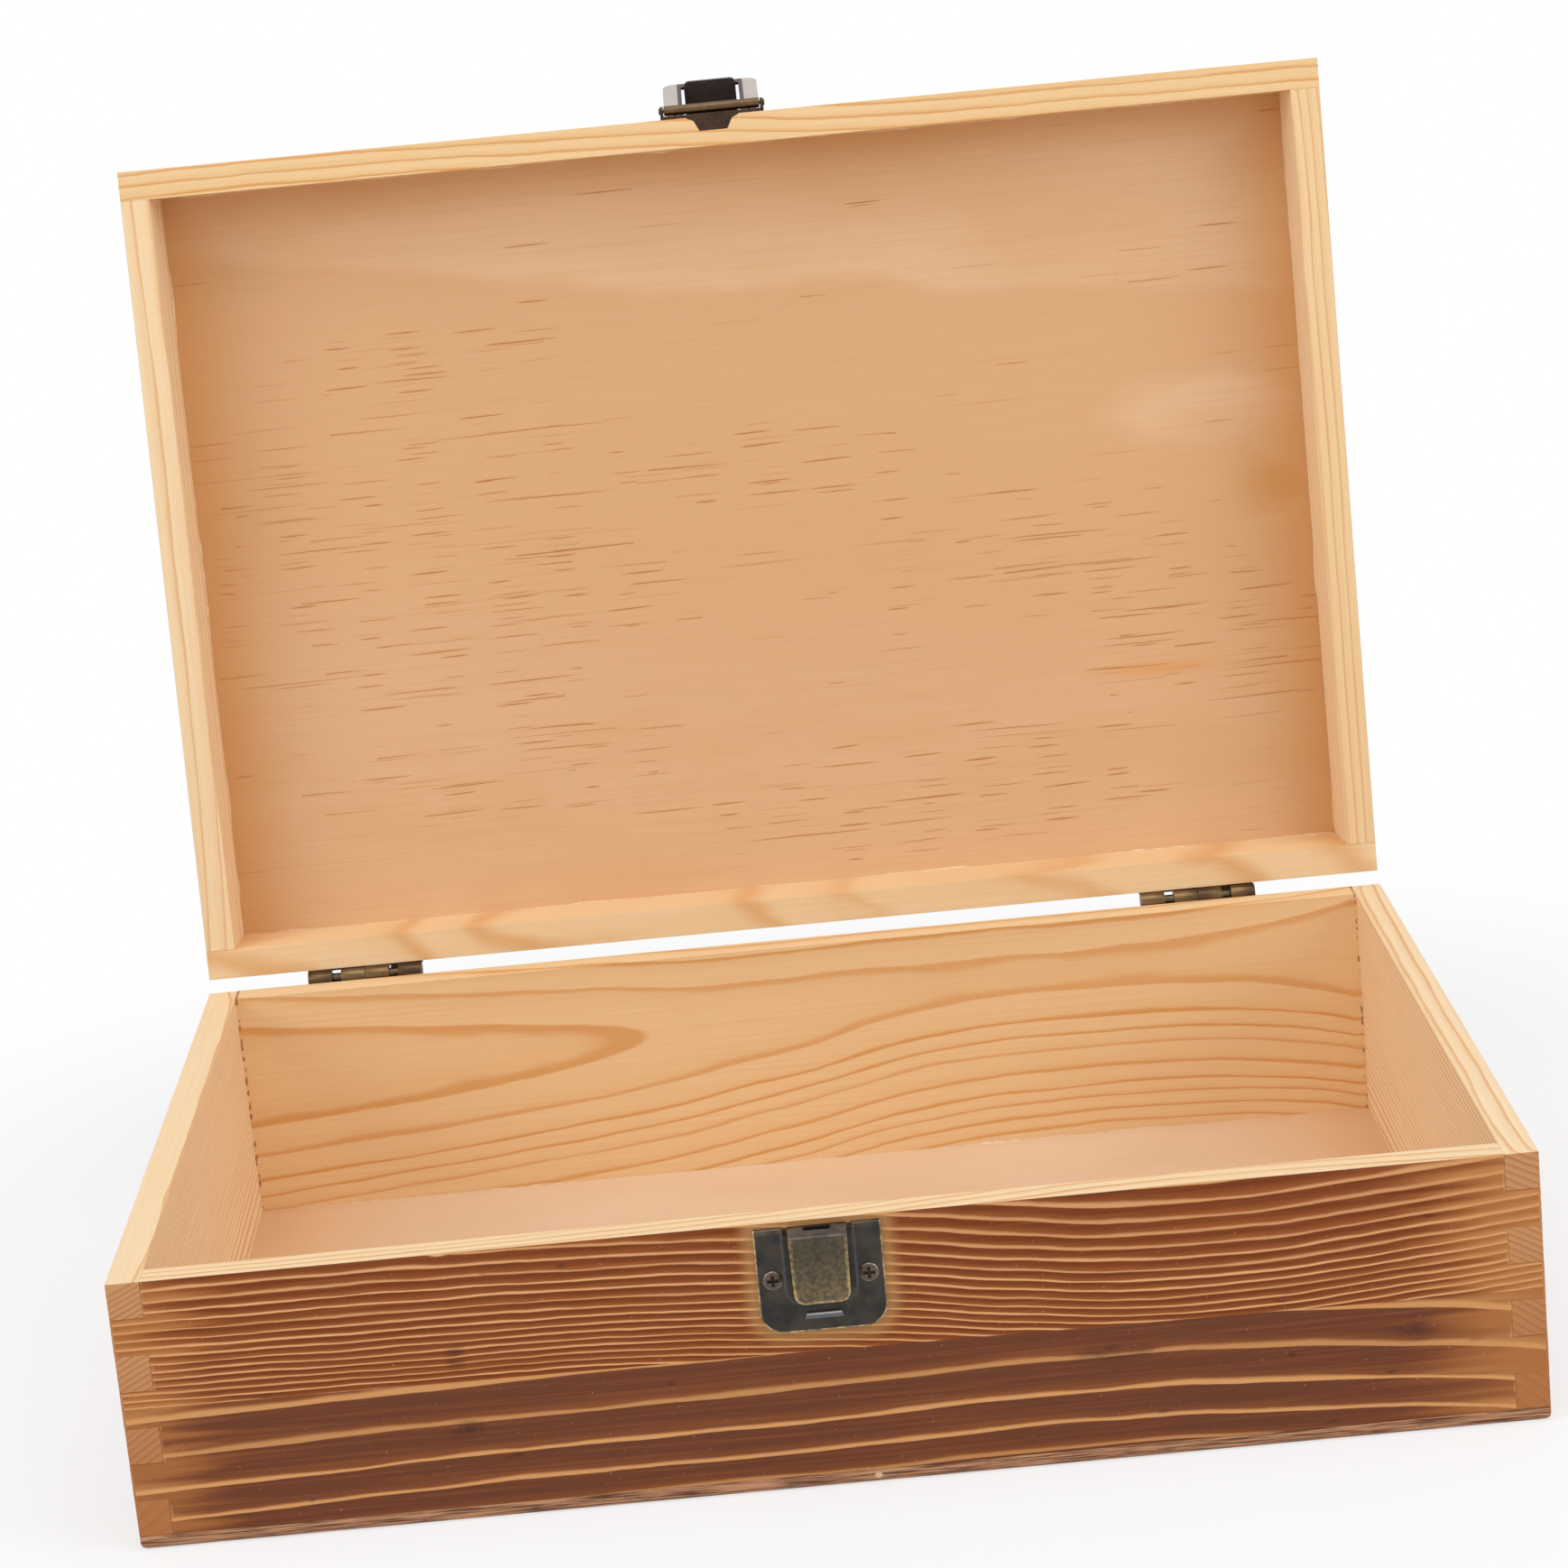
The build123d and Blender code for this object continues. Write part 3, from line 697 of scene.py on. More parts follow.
def scorched_side(tree, name, face, closed, grain, masks, fibre, deep):
    """Colour and height of the scorched wood, spared at the ends, on end grain and round the keeper, and
    the mask of where it shows."""
    along, height, _ = split(tree, grain)
    end_gap = inside(tree, half_width if face in ("front", "back") else half_depth, along)
    near_end = spared_ends(tree, grain, end_gap)
    skin = use(tree, outer_skin, Closed_Place=closed)
    spots = ramp(tree, noise(tree, grain, spot_cells, 1.0), *soot_spots)
    rim_gap = from_rim(tree, name, height)
    groove = times(tree, skin["Groove"], ramp(tree, rim_gap, *groove_clear))
    soot = most(tree, times(tree, spots, rest_of(tree, near_end)), times(tree, groove, groove_soot))
    if name == "front_wall":
        under, smudged, halo = front_marks(tree, closed, grain)
        # The keeper's painted shadow joins the soot here.
        soot = most(tree, soot, under, smudged)
    burn = use(
        tree, scorched_pine, Latewood=masks[0], Glow=scaled(tree, near_end, spared_glow, masks[1]),
        Streak=fibre["Streak"], Fleck=fibre["Fleck"], Deep=deep, Spare=near_end, Soot=soot,
        Dust=ramp(tree, noise(tree, closed, dust_cells, 1.0), *dust_step),
    )
    on_end = ramp(tree, end_gap, *end_skin)
    shade = mix(tree, on_end, burn["Color"], end_grain(tree, height, masks))
    if name in ("front_wall", "back_wall"):
        shade = mix(tree, joint_line(tree, closed, height, end_gap), shade, joint_pale)
    if name == "front_wall":
        shade = mix(tree, halo, shade, mix(tree, masks[0], halo_tan, burnt_line))
    return shade, burn["Height"], times(tree, skin["Scorch"], ramp(tree, rim_gap, *rim_skin))


print("scorched side ready")

# %% Dress the boards
seam_line = [(-165, 35.4), (165, 33.0)]
rim_chip, chip_core = (-88.0, 66.6, 3.0, 0.9), 0.35
usual_deep, upper_deep, lower_deeper = 0.12, 0.05, 0.85
board_relief = 0.05


def board_material(name, face, rings, lower_rings):
    """Raw pine inside, scorched pine outside, with the board's own rings. Outside, the rings may be those
    of the wall it was sawn from, or change at the seam between two strips."""
    material, tree, shader = finish_material(name + "_pine", pine_rough, wood_specular)
    closed = closed_place(tree, name.startswith("lid"))
    grain = join(tree, *board_place(tree, closed, face))
    along, height, _ = split(tree, grain)
    masks = ring_masks(tree, grain, rings)
    outer_masks = ring_masks(tree, grain, rings["outside"]) if "outside" in rings else masks
    deep = usual_deep
    if lower_rings:
        below = calc(tree, "LESS_THAN", height, curve(tree, along, seam_line))
        lower = ring_masks(tree, grain, lower_rings)
        masks = outer_masks = [between(tree, below, high, low) for high, low in zip(masks, lower)]
        deep = scaled(tree, below, lower_deeper, upper_deep)
    fibre = use(tree, wood_fibre, Grain=grain)
    raw, raw_height = raw_side(tree, name, closed, grain, masks, fibre, rings)
    burn, burn_height, scorch = scorched_side(tree, name, face, closed, grain, outer_masks, fibre, deep)
    if name == "front_wall":
        scorch = times(tree, scorch, rest_of(tree, oval(tree, along, height, rim_chip, chip_core)))
    feed(tree, shader.inputs["Base Color"], mix(tree, scorch, raw, burn))
    bump(tree, shader, between(tree, scorch, raw_height, burn_height), board_relief)
    return material


for name, (face, rings, lower_rings) in boards.items():
    dress(name, board_material(name, face, rings, lower_rings))
print("boards dressed:", len(boards))

# %% [markdown]
# ## Plywood
# The lid panel and the bottom are thin plywood. Its veneer is peeled off a turning log, so there are no
# straight lines: broad cloudy figures, and short brown dashes where resin canals were cut along
# their length. Each dash sits in a cell of a Voronoi texture. The cell's centre gives the dash's
# place, so its length and thickness can be set in millimetres, and only some cells get one.

# %% Resin dashes
dash_layers = ((34.0, 2.0, 0.0), (19.0, 1.5, 31.0), (70.0, 4.3, 67.0))
dash_tilt, bend_cells, dash_bend = 0.012, (45, 9, 9), 1.6
shortest_half, half_range, thinnest_half, thick_range = 0.12, 0.34, 0.06, 0.17
dash_core, dash_halo = (0.3, 1.1, 1.0, 0.0), (0.5, 4.0, 0.12, 0.0)
faintest_dash, dash_range, thin_end = 0.35, 0.65, 0.001
tree, given, out = effect("Resin Dashes", {"Grain": origin, "Density": 0.3}, {"Dash": "Float"})
along, up, _ = split(tree, given["Grain"])
tilted = scaled(tree, along, dash_tilt, up)
bent = scaled(tree, noise(tree, given["Grain"], bend_cells, 1.0), dash_bend, tilted)
dashes = []
for cell_length, cell_width, seed in dash_layers:
    column = scaled(tree, along, 1 / cell_length, seed)
    cell = join(tree, column, scaled(tree, bent, 1 / cell_width, seed), 0.0)
    spots = place(tree, "TexVoronoi", cell, voronoi_dimensions="2D")
    spots.inputs["Scale"].default_value = 1.0
    chance, size, strength = split(tree, spots.outputs["Color"])
    offset = place(tree, "VectorMath", cell, spots.outputs["Position"], operation="SUBTRACT")
    aside, over, _ = split(tree, offset.outputs[0])
    ends = calc(tree, "DIVIDE", aside, scaled(tree, size, half_range, shortest_half))
    taper = scaled(tree, times(tree, ends, ends), -1.0, 1.0)
    half_thick = scaled(tree, strength, thick_range, thinnest_half)
    thick = times(tree, calc(tree, "MAXIMUM", taper, thin_end), half_thick)
    away = calc(tree, "DIVIDE", calc(tree, "ABSOLUTE", times(tree, over, cell_width)), thick)
    line = most(tree, ramp(tree, away, *dash_core), ramp(tree, away, *dash_halo))
    mark = times(tree, line, calc(tree, "LESS_THAN", chance, given["Density"]))
    dashes.append(times(tree, mark, scaled(tree, strength, dash_range, faintest_dash)))
feed(tree, out["Dash"], most(tree, *dashes))
resin_dashes = tree
print("layers of dashes:", len(dashes))

# %% Figure of the lid's veneer
lid_contour = [
    (-157, -92), (-119, -86), (-52, -75), (-10, -68), (32, -68), (64, -61), (96, -60), (157, -53)
]
dash_zones = [(-92, 2, 85, 70), (72, 16, 70, 26), (0, -14, 70, 18), (125, 42, 48, 30), (50, 82, 105, 20),
              (-95, -52, 60, 16), (118, -58, 20, 7), (-80, 62, 70, 22)]
zone_core, zone_dashes, stray_dashes = 0.3, 0.42, 0.022
pale_tongue, tongue_core, brown_patch, patch_share = (130, -20, 36, 13), 0.4, (150, 4, 20, 16), 0.85
sway_cells, patch_sway, contour_sway = (26, 9, 9), 9.0, 6.0
contour_edge, contour_fall = (-1.0, 6.0), (70.0, 150.0, 0.85, 0.3)
# Painted shade: the lid panel turns warm and darker along the side rails and the front rail, where the
# rails shade it.
painted_shade_sides, painted_shade_front_rail = (0.0, 20.0, 0.6, 0.0), (0.0, 14.0, 0.4, 0.0)


def lid_figure(tree, x, y):
    """Tone, warmth and dash density of the lid's inner veneer: a little darker below a long contour,
    a painted shade, warm and darker, along the side rails and the front rail, a brown patch, dashes in
    zones."""
    sway = swing(tree, join(tree, x, y, 0.0), sway_cells, 3.0)
    swayed = scaled(tree, sway, patch_sway, y)
    below = minus(tree, scaled(tree, sway, contour_sway, y), curve(tree, x, lid_contour))
    tone = times(tree, ramp(tree, below, *contour_edge), ramp(tree, below, *contour_fall))
    kept = rest_of(tree, oval(tree, x, swayed, pale_tongue, tongue_core))
    behind = calc(tree, "ADD", y, half_depth - wall)
    # Painted shade along the side rails and the front rail, with the veneer's own brown patch.
    warm = most(
        tree, ramp(tree, inside(tree, inner_end, x), *painted_shade_sides), ramp(tree, behind, *painted_shade_front_rail),
        times(tree, oval(tree, x, swayed, brown_patch), patch_share),
    )
    zones = most(tree, *[oval(tree, x, y, zone, zone_core) for zone in dash_zones])
    return times(tree, tone, kept), warm, scaled(tree, zones, zone_dashes, stray_dashes)


print("zones of dashes on the lid:", len(dash_zones))

# %% Figure of the floor's veneer
floor_cells, floor_tone, floor_warmth = (140, 50, 50), (0.35, 0.65, 0.0, 0.6), 0.15
# Painted shade at both ends of the floor, next to the end walls.
painted_shade_ends, floor_dashes = (0.0, 55.0, 0.42, 0.0), (0.5, 0.7, 0.0, 0.02)


def floor_figure(tree, x, y):
    """Tone, warmth and dash density of the box floor: even, with few dashes, a warm painted shade at both
    ends.
    """
    cloud = noise(tree, join(tree, x, y, 0.0), floor_cells)
    tone = ramp(tree, cloud, *floor_tone)
    # Painted shade at both ends, where the end walls shade the floor.
    ends = ramp(tree, inside(tree, inner_end, x), *painted_shade_ends)
    return tone, most(tree, times(tree, tone, floor_warmth), ends), ramp(tree, cloud, *floor_dashes)


outer_veneer = {"wobble": 13.0, "late": 0.30, "glow": 0.7, "edge": 0.06}
panels = {
    "lid_panel": {
        "figure": lid_figure, **outer_veneer,
        "light": colour(229, 189, 149), "dark": colour(214, 164, 114),
        "pith_height": [(-165, -30), (-60, -12), (40, 8), (165, -10)], "pith_depth": 118.0,
        "drift": [(-165, 14), (-20, 0), (165, 22)], "count": even_rings(9.0, 0, 220),
    },
    "bottom_panel": {
        "figure": floor_figure, **outer_veneer,
        "light": colour(231, 202, 171), "dark": colour(223, 187, 152),
        "pith_height": [(-165, 20), (0, -10), (165, 25)], "pith_depth": -26.0,
        "drift": [(-165, 0), (30, 12), (165, 4)], "count": even_rings(8.0, 0, 220),
    },
}
print("panels:", len(panels))

# %% Veneer
resin, streak_orange, veneer_warmth_and_shade = colour(174, 92, 0), colour(226, 150, 66), colour(208, 150, 86)
cloud_cells, cloud_step, tone_share = (90, 34, 34), (0.35, 0.7, 0.0, 0.45), 0.7
veneer_streak, veneer_fleck = (0.42, 0.72, 0.0, 0.28), (0.56, 0.78, 0.0, 0.16)
orange_streak, streak_share = (111, 53, 27, 3.2), 0.5
dash_share, dash_sink = 0.8, 0.8


def veneer(tree, name, closed, fibre, panel):
    """Colour and height of the raw face: clouds, the panel's figure and painted shade, fibres and dashes.
    """
    x, y, _ = split(tree, closed)
    tone, warm, density = panel["figure"](tree, x, y)
    cloud = ramp(tree, noise(tree, closed, cloud_cells, 3.0), *cloud_step)
    shade = mix(tree, most(tree, times(tree, tone, tone_share), cloud), panel["light"], panel["dark"])
    shade = mix(tree, ramp(tree, fibre["Streak"], *veneer_streak), shade, panel["dark"])
    shade = mix(tree, ramp(tree, fibre["Fleck"], *veneer_fleck), shade, veneer_warmth_and_shade)
    # The figure's warmth: the veneer's own warm tone and brown patch, and the painted shade along the
    # edges.
    shade = mix(tree, warm, shade, veneer_warmth_and_shade)
    if name == "lid_panel":
        streak = times(tree, oval(tree, x, y, orange_streak), streak_share)
        shade = mix(tree, streak, shade, streak_orange)
    dash = use(tree, resin_dashes, Grain=closed, Density=density)["Dash"]
    shade = mix(tree, times(tree, dash, dash_share), shade, resin)
    return shade, scaled(tree, dash, -dash_sink, fibre["Streak"])


print("resin", [round(part, 3) for part in resin[:3]])

# %% Plies and the dressing of the panels
ply_dark, ply_light, ply_bare = colour(92, 56, 40), colour(198, 146, 108), colour(224, 188, 150)
ply_cells, ply_step, ply_edge_depth = (16, 0.4, 1.0), (0.38, 0.60), (0.8, 1.4, 1.0, 0.0)
ply_chip, ply_chip_core = (8.0, 2.0, 1.1, 1.0), 0.6
panel_skin, panel_deep, panel_spared, panel_relief = 0.75, 0.45, 0.1, 0.04


def ply_edge(tree, name, closed):
    """Colour of the glued plies on the panel's edge, and the mask of that edge."""
    x, y, z = split(tree, closed)
    plies = noise(tree, join(tree, calc(tree, "ADD", x, y), z, 0.0), ply_cells, 4.0, 0.65)
    shade = mix(tree, ramp(tree, plies, *ply_step), ply_dark, ply_light)
    if name == "bottom_panel":
        on_front = calc(tree, "LESS_THAN", y, 0.0)
        shade = mix(tree, times(tree, oval(tree, x, z, ply_chip, ply_chip_core), on_front), shade, ply_bare)
    return shade, ramp(tree, from_sides(tree, x, y), *ply_edge_depth)


def panel_material(name, panel):
    """Raw veneer inside, scorched veneer outside, streaky glued plies on the edges."""
    material, tree, shader = finish_material(name + "_plywood", ply_rough, wood_specular)
    closed = closed_place(tree, name.startswith("lid"))
    fibre = use(tree, wood_fibre, Grain=closed)
    sheet, sheet_height = veneer(tree, name, closed, fibre, panel)
    late, glow = ring_masks(tree, closed, panel)
    scorch = use(tree, outer_skin, Closed_Place=closed, Skin=panel_skin)["Scorch"]
    burn = use(
        tree, scorched_pine, Latewood=late, Glow=glow, Streak=fibre["Streak"], Fleck=fibre["Fleck"],
        Deep=panel_deep, Spare=panel_spared,
    )
    edge, on_edge = ply_edge(tree, name, closed)
    outside = mix(tree, on_edge, burn["Color"], edge)
    feed(tree, shader.inputs["Base Color"], mix(tree, scorch, sheet, outside))
    bump(tree, shader, between(tree, scorch, sheet_height, burn["Height"]), panel_relief)
    return material


for name, panel in panels.items():
    dress(name, panel_material(name, panel))
print("panels dressed:", len(panels))

# %% [markdown]
# ## Antique bronze
# The hardware is stamped brass sheet with a dark bronze finish. Where hands and the latch rub, the
# finish wears through: on edges, on the keeper's tongue, on the knuckles. A group mixes dark
# finish, brown film and worn brass by a mottle and a wear mask; each piece has its own mask.

# %% Bronze group
finish_dark, film_brown, brass = colour(46, 49, 50), colour(96, 80, 64), colour(190, 163, 112)
mottle_cells, patch_cells, fine_cells = (1.1, 1.1, 1.1), (5.0, 5.0, 5.0), (0.28, 0.28, 0.28)
film_step, wear_step, speck_step = (0.3, 0.7, 0.25, 1.0), (0.34, 0.66, 0.4, 1.4), (0.69, 0.76, 0.0, 0.30)
mottle_rough, least_rough, mottle_lift = 0.3, 0.22, 0.6
tree, given, out = effect(
    "Antique Bronze",
    {"Place": origin, "Wear": 0.0, "Film": 0.3, "Dark": finish_dark, "Brown": film_brown, "Bright": brass},
    {"Color": "Color", "Roughness": "Float", "Height": "Float"},
)
mottle = noise(tree, given["Place"], mottle_cells, 4.0, 0.62)
fine = noise(tree, given["Place"], fine_cells, 2.0)
film = times(tree, ramp(tree, noise(tree, given["Place"], patch_cells, 2.0), *film_step), given["Film"])
worn = times(tree, given["Wear"], ramp(tree, mottle, *wear_step))
filmed = mix(tree, film, given["Dark"], given["Brown"])
bare = most(tree, worn, ramp(tree, fine, *speck_step))
feed(tree, out["Color"], mix(tree, bare, filmed, given["Bright"]))
feed(tree, out["Roughness"], scaled(tree, mottle, mottle_rough, least_rough))
feed(tree, out["Height"], scaled(tree, mottle, mottle_lift, fine))
antique_bronze = tree
print("bronze", [round(part, 3) for part in finish_dark[:3]])

# %% Bronze materials
metal_rough, metal_specular, metal_relief = 0.4, 0.5, 0.02


def bronze_material(name, mask=None, on_lid=False, stretch=(1.0, 1.0, 1.0), **values):
    """Antique bronze; mask(tree, closed) works out the group's inputs that change over the piece."""
    material, tree, shader = finish_material(name, metal_rough, metal_specular)
    shader.inputs["Metallic"].default_value = 1.0
    closed = closed_place(tree, on_lid)
    inputs = {**values, **(mask(tree, closed) if mask else {})}
    spot = place(tree, "Mapping", closed, None, None, stretch).outputs[0]
    shades = use(tree, antique_bronze, Place=spot, **inputs)
    feed(tree, shader.inputs["Base Color"], shades["Color"])
    feed(tree, shader.inputs["Roughness"], shades["Roughness"])
    bump(tree, shader, shades["Height"], metal_relief)
    return material


print("worn to brass", [round(part, 3) for part in brass[:3]])

# %% [markdown]
# ## Keeper
# The keeper is the best-seen piece of hardware: a blue-grey plate with a worn light outline, a tongue
# rubbed to mottled brass with a golden rim, a brown shoulder with a slot, a painted blue-grey highlight
# along the dish's edge, and a small lug with a painted blue-grey reflection on its face and a painted
# bright highlight on its lifted lip. The masks come from the distances to the outlines of plate, dish
# and tongue.

# %% Keeper
tongue_outline = {"Half_Width": 6.5, "Half_Height": 9.7, "Corner": 2.3}
dish_outline = {"Half_Width": 8.3, "Half_Height": 12.0, "Corner": 4.0}
tongue_middle, dish_middle = 57.6, 58.5
# Colours of the painted highlights on the dish's edge and on the lug.
painted_blue_highlight, painted_lip_highlight, edge_beige = colour(104, 112, 120), colour(206, 200, 194), colour(204, 182, 150)
edge_cells, edge_broken, edge_step = (3, 3, 3), (0.3, 0.6, 0.25, 0.85), (-0.45, -0.1)
tongue_face, tongue_rim, tongue_fall = (4.0, 4.6), (-0.9, -0.1, 0.16, 0.66), (48.5, 62.0, 1.4, 0.55)
shoulder_face, shoulder_foot = (0.8, 1.2), (63.4, 63.9)
dish_highlight_step, dish_face = (0.05, 0.5, 0.45, 0.0), 1.0
lug_face, lug_top, lip_foot = (0.95, 1.1), 45.0, (43.6, 44.1)
roll_step = (keeper_top - 1.3, keeper_top - 0.8, 0.0, 0.8)
plate_film, shoulder_film, keeper_brown = 0.4, 0.9, colour(104, 89, 76)


def keeper_shades(tree, closed):
    """Wear on the plate's outline and the tongue, brown on the shoulder, painted highlights on lug and dish
    edge.
    """
    _, y, z = split(tree, closed)
    off_face = minus(tree, -half_depth, y)
    broken = ramp(tree, noise(tree, closed, edge_cells, 2.0), *edge_broken)
    plate_edge = plate_line(tree, closed, keeper_middle, keeper_outline)
    edge = times(tree, ramp(tree, plate_edge, *edge_step), broken)
    tongue_edge = plate_line(tree, closed, tongue_middle, tongue_outline)
    rubbed = times(tree, ramp(tree, off_face, *tongue_face), ramp(tree, tongue_edge, *tongue_rim))
    rubbed = times(tree, rubbed, ramp(tree, z, *tongue_fall))
    shoulder = times(tree, ramp(tree, off_face, *shoulder_face), ramp(tree, z, *shoulder_foot))
    tongue = times(tree, rubbed, rest_of(tree, shoulder))
    dish_edge = plate_line(tree, closed, dish_middle, dish_outline)
    dish = ramp(tree, calc(tree, "ABSOLUTE", dish_edge), *dish_highlight_step)
    dish_highlight = times(tree, dish, calc(tree, "LESS_THAN", off_face, dish_face))
    rolled = ramp(tree, z, *roll_step)
    lug = times(tree, ramp(tree, off_face, *lug_face), calc(tree, "LESS_THAN", z, lug_top))
    lip = times(tree, lug, ramp(tree, z, *lip_foot))
    # Painted highlights: blue-grey on the dish's edge and the lug's face, bright on the lug's lifted lip.
    painted_highlights = mix(tree, most(tree, dish_highlight, lug), finish_dark, painted_blue_highlight)
    return {
        "Wear": most(tree, edge, tongue),
        "Film": most(tree, plate_film, rolled, times(tree, shoulder, shoulder_film)),
        "Bright": mix(tree, edge, brass, edge_beige),
        "Dark": mix(tree, lip, painted_highlights, painted_lip_highlight),
    }


dress("keeper_plate", bronze_material("keeper_bronze", keeper_shades, Brown=keeper_brown))
print("keeper dressed")

# %% [markdown]
# ## Screws, hinges and latch
# Screw heads are brown-grey with a near-black cross painted in the recess: a point
# close to the screw's axis and below the dome is dark. The hinge knuckles are brushed along the pin.
# The latch flap is brown bronze outside and round its barrel. Its inside, which faces the viewer when
# the lid is open, is rubbed light, apart from a dark rim of painted shade round the window.

# %% Screws
plate_sheet, leaf_sheet = 0.9, 1.0
screw_spots = {
    "keeper_screws": (latch_x, 11.1, 52.9, -1, plate_sheet),
    "hasp_screws": (latch_x, 10.2, 80.2, -1, plate_sheet),
    "left_hinge_box_screws": (-121.0, 9.5, 58.2, 1, leaf_sheet),
    "right_hinge_box_screws": (114.0, 9.5, 58.2, 1, leaf_sheet),
    "left_hinge_lid_screws": (-121.0, 9.5, 75.4, 1, leaf_sheet),
    "right_hinge_lid_screws": (114.0, 9.5, 75.4, 1, leaf_sheet),
}
recess_reach, head_radius, screw_film = 1.5, 2.25, 0.7
recess_level = 0.56
recess_step = (recess_level, recess_level + 0.1, 1.0, 0.0)
head_rim = (head_radius - 0.35, head_radius - 0.05, 0.06, 0.6)
screw_dark, recess_black = colour(72, 61, 55), colour(16, 14, 13)
screw_colours = {"Brown": colour(104, 90, 80), "Bright": colour(184, 166, 148)}


def screw_shades(middle, half_spread, level, side, sheet):
    """A mask function for one pair of screws: black cross, light rubbed ring at the head's edge."""
    def shades(tree, closed):
        """The cross is near a screw's axis and low; the ring is where the radius nears the head's."""
        x, y, z = split(tree, closed)
        across = minus(tree, apart(tree, x, middle), half_spread)
        radius = length(tree, across, minus(tree, z, level))
        proud = minus(tree, times(tree, y, side), half_depth + sheet)
        in_reach = calc(tree, "LESS_THAN", radius, recess_reach)
        # The cross recess is painted near black.
        cross = times(tree, in_reach, ramp(tree, proud, *recess_step))
        return {
            "Dark": mix(tree, cross, screw_dark, recess_black),
            "Wear": ramp(tree, radius, *head_rim),
            "Film": minus(tree, screw_film, cross),
        }
    return shades


for name, spot in screw_spots.items():
    on_lid = "lid" in name or "hasp" in name
    dress(name, bronze_material(name + "_bronze", screw_shades(*spot), on_lid, **screw_colours))
print("pairs of screws dressed:", len(screw_spots))

# %% Hinges and pins
knuckle_cells, knuckle_wear, knuckle_film = (7.5, 60, 60), (0.35, 0.65, 0.04, 0.36), (0.3, 0.6, 0.45, 1.0)
hinge_colours = {"Dark": colour(60, 47, 40), "Brown": colour(100, 78, 54), "Bright": colour(150, 122, 82)}
brushed = (0.12, 1.0, 1.0)


def knuckle_shades(tree, closed):
    """Each knuckle has its own shade: the wear changes along the pin."""
    along = noise(tree, closed, knuckle_cells, 0.0)
    return {"Wear": ramp(tree, along, *knuckle_wear), "Film": ramp(tree, along, *knuckle_film)}


leaves = [name for name in pieces if name.endswith("leaf")]
for name in leaves:
    dress(name, bronze_material(name + "_bronze", knuckle_shades, "lid" in name, brushed, **hinge_colours))
pin_material = bronze_material("pin_steel", Wear=0.1, Film=0.4, Dark=colour(46, 44, 44))
for name in ("left_hinge_pin", "right_hinge_pin", "latch_pin"):
    dress(name, pin_material)
print("hinge leaves dressed:", len(leaves))

# %% Latch on the lid
arm_light, arm_brown, arm_bright = colour(196, 188, 181), colour(176, 164, 152), colour(216, 206, 200)
barrel_dark, barrel_brown, barrel_bright = colour(84, 66, 52), colour(110, 84, 58), colour(148, 120, 84)
# Colour of the painted shade round the flap's window.
painted_window_shade = colour(66, 50, 44)
flap_angle, flap_outside, window_side, flap_side = radians(161.5), 1.35, 8.0, 13.1
barrel_step, past_barrel = (1.45, 1.6, 1.0, 0.0), (2.2, 2.4)
outside_step = (flap_outside - 0.5, flap_outside - 0.3)
window_shade_step = (window_side + 1.0, window_side + 1.3, 1.0, 0.0)
side_wear, inside_wear = (flap_side - 0.8, flap_side - 0.3, 0.15, 0.5), 0.15
hasp_colours = {"Dark": colour(50, 40, 36), "Brown": colour(78, 59, 49), "Bright": colour(142, 112, 86)}
hook_colours = {
    "Dark": colour(102, 98, 98), "Brown": colour(114, 104, 100), "Bright": colour(152, 142, 134),
}


def flap_shades(tree, closed):
    """Brown brass on the barrel round the pin and outside, rubbed light inside, with a painted shade as a
    dark rim round its window. The outside is the far face of the sheet, measured across the open flap."""
    x, y, z = split(tree, closed)
    dy, dz = minus(tree, y, latch_pin_y), minus(tree, z, latch_pin_z)
    reach, across = length(tree, dy, dz), apart(tree, x, latch_x)
    through = scaled(tree, dy, -cos(flap_angle), times(tree, dz, sin(flap_angle)))
    outside = ramp(tree, through, *outside_step)
    # Painted shade: a dark rim round the window, on the arms' inner edges.
    rim = times(tree, ramp(tree, across, *window_shade_step), ramp(tree, reach, *past_barrel))
    brown = most(tree, ramp(tree, reach, *barrel_step), outside)
    worn_inside = scaled(tree, rim, -inside_wear, inside_wear)
    return {
        "Dark": mix(tree, rim, mix(tree, brown, arm_light, barrel_dark), painted_window_shade),
        "Brown": mix(tree, rim, mix(tree, brown, arm_brown, barrel_brown), painted_window_shade),
        "Bright": mix(tree, brown, arm_bright, barrel_bright),
        "Wear": between(tree, outside, worn_inside, ramp(tree, across, *side_wear)),
    }


dress("latch_flap", bronze_material("flap_bronze", flap_shades, True, Film=0.5))
dress("hasp_plate", bronze_material("hasp_bronze", None, True, Wear=0.08, Film=0.7, **hasp_colours))
dress("hook_plate", bronze_material("hook_bronze", None, True, Wear=0.06, Film=0.5, **hook_colours))
print("latch dressed")

# %% [markdown]
# ## Eased edges
# No real edge is perfectly sharp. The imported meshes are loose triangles, so a Weld modifier joins them
# first, and a Bevel then rounds every edge that turns by more than a given angle. The modifiers
# leave the mesh itself as it is.

# %% Weld and bevel
weld_reach, wood_ease, metal_ease, ease_angle = 0.002, 0.22, 0.1, radians(35)
wooden = set(boards) | set(panels)
for name, piece in pieces.items():
    weld = piece.modifiers.new("weld", "WELD")
    weld.merge_threshold = weld_reach * MM
    ease = piece.modifiers.new("ease", "BEVEL")
    ease.width = (wood_ease if name in wooden else metal_ease) * MM
    ease.segments = 2
    ease.limit_method = "ANGLE"
    ease.angle_limit = ease_angle
print("edges eased on", len(pieces), "pieces")

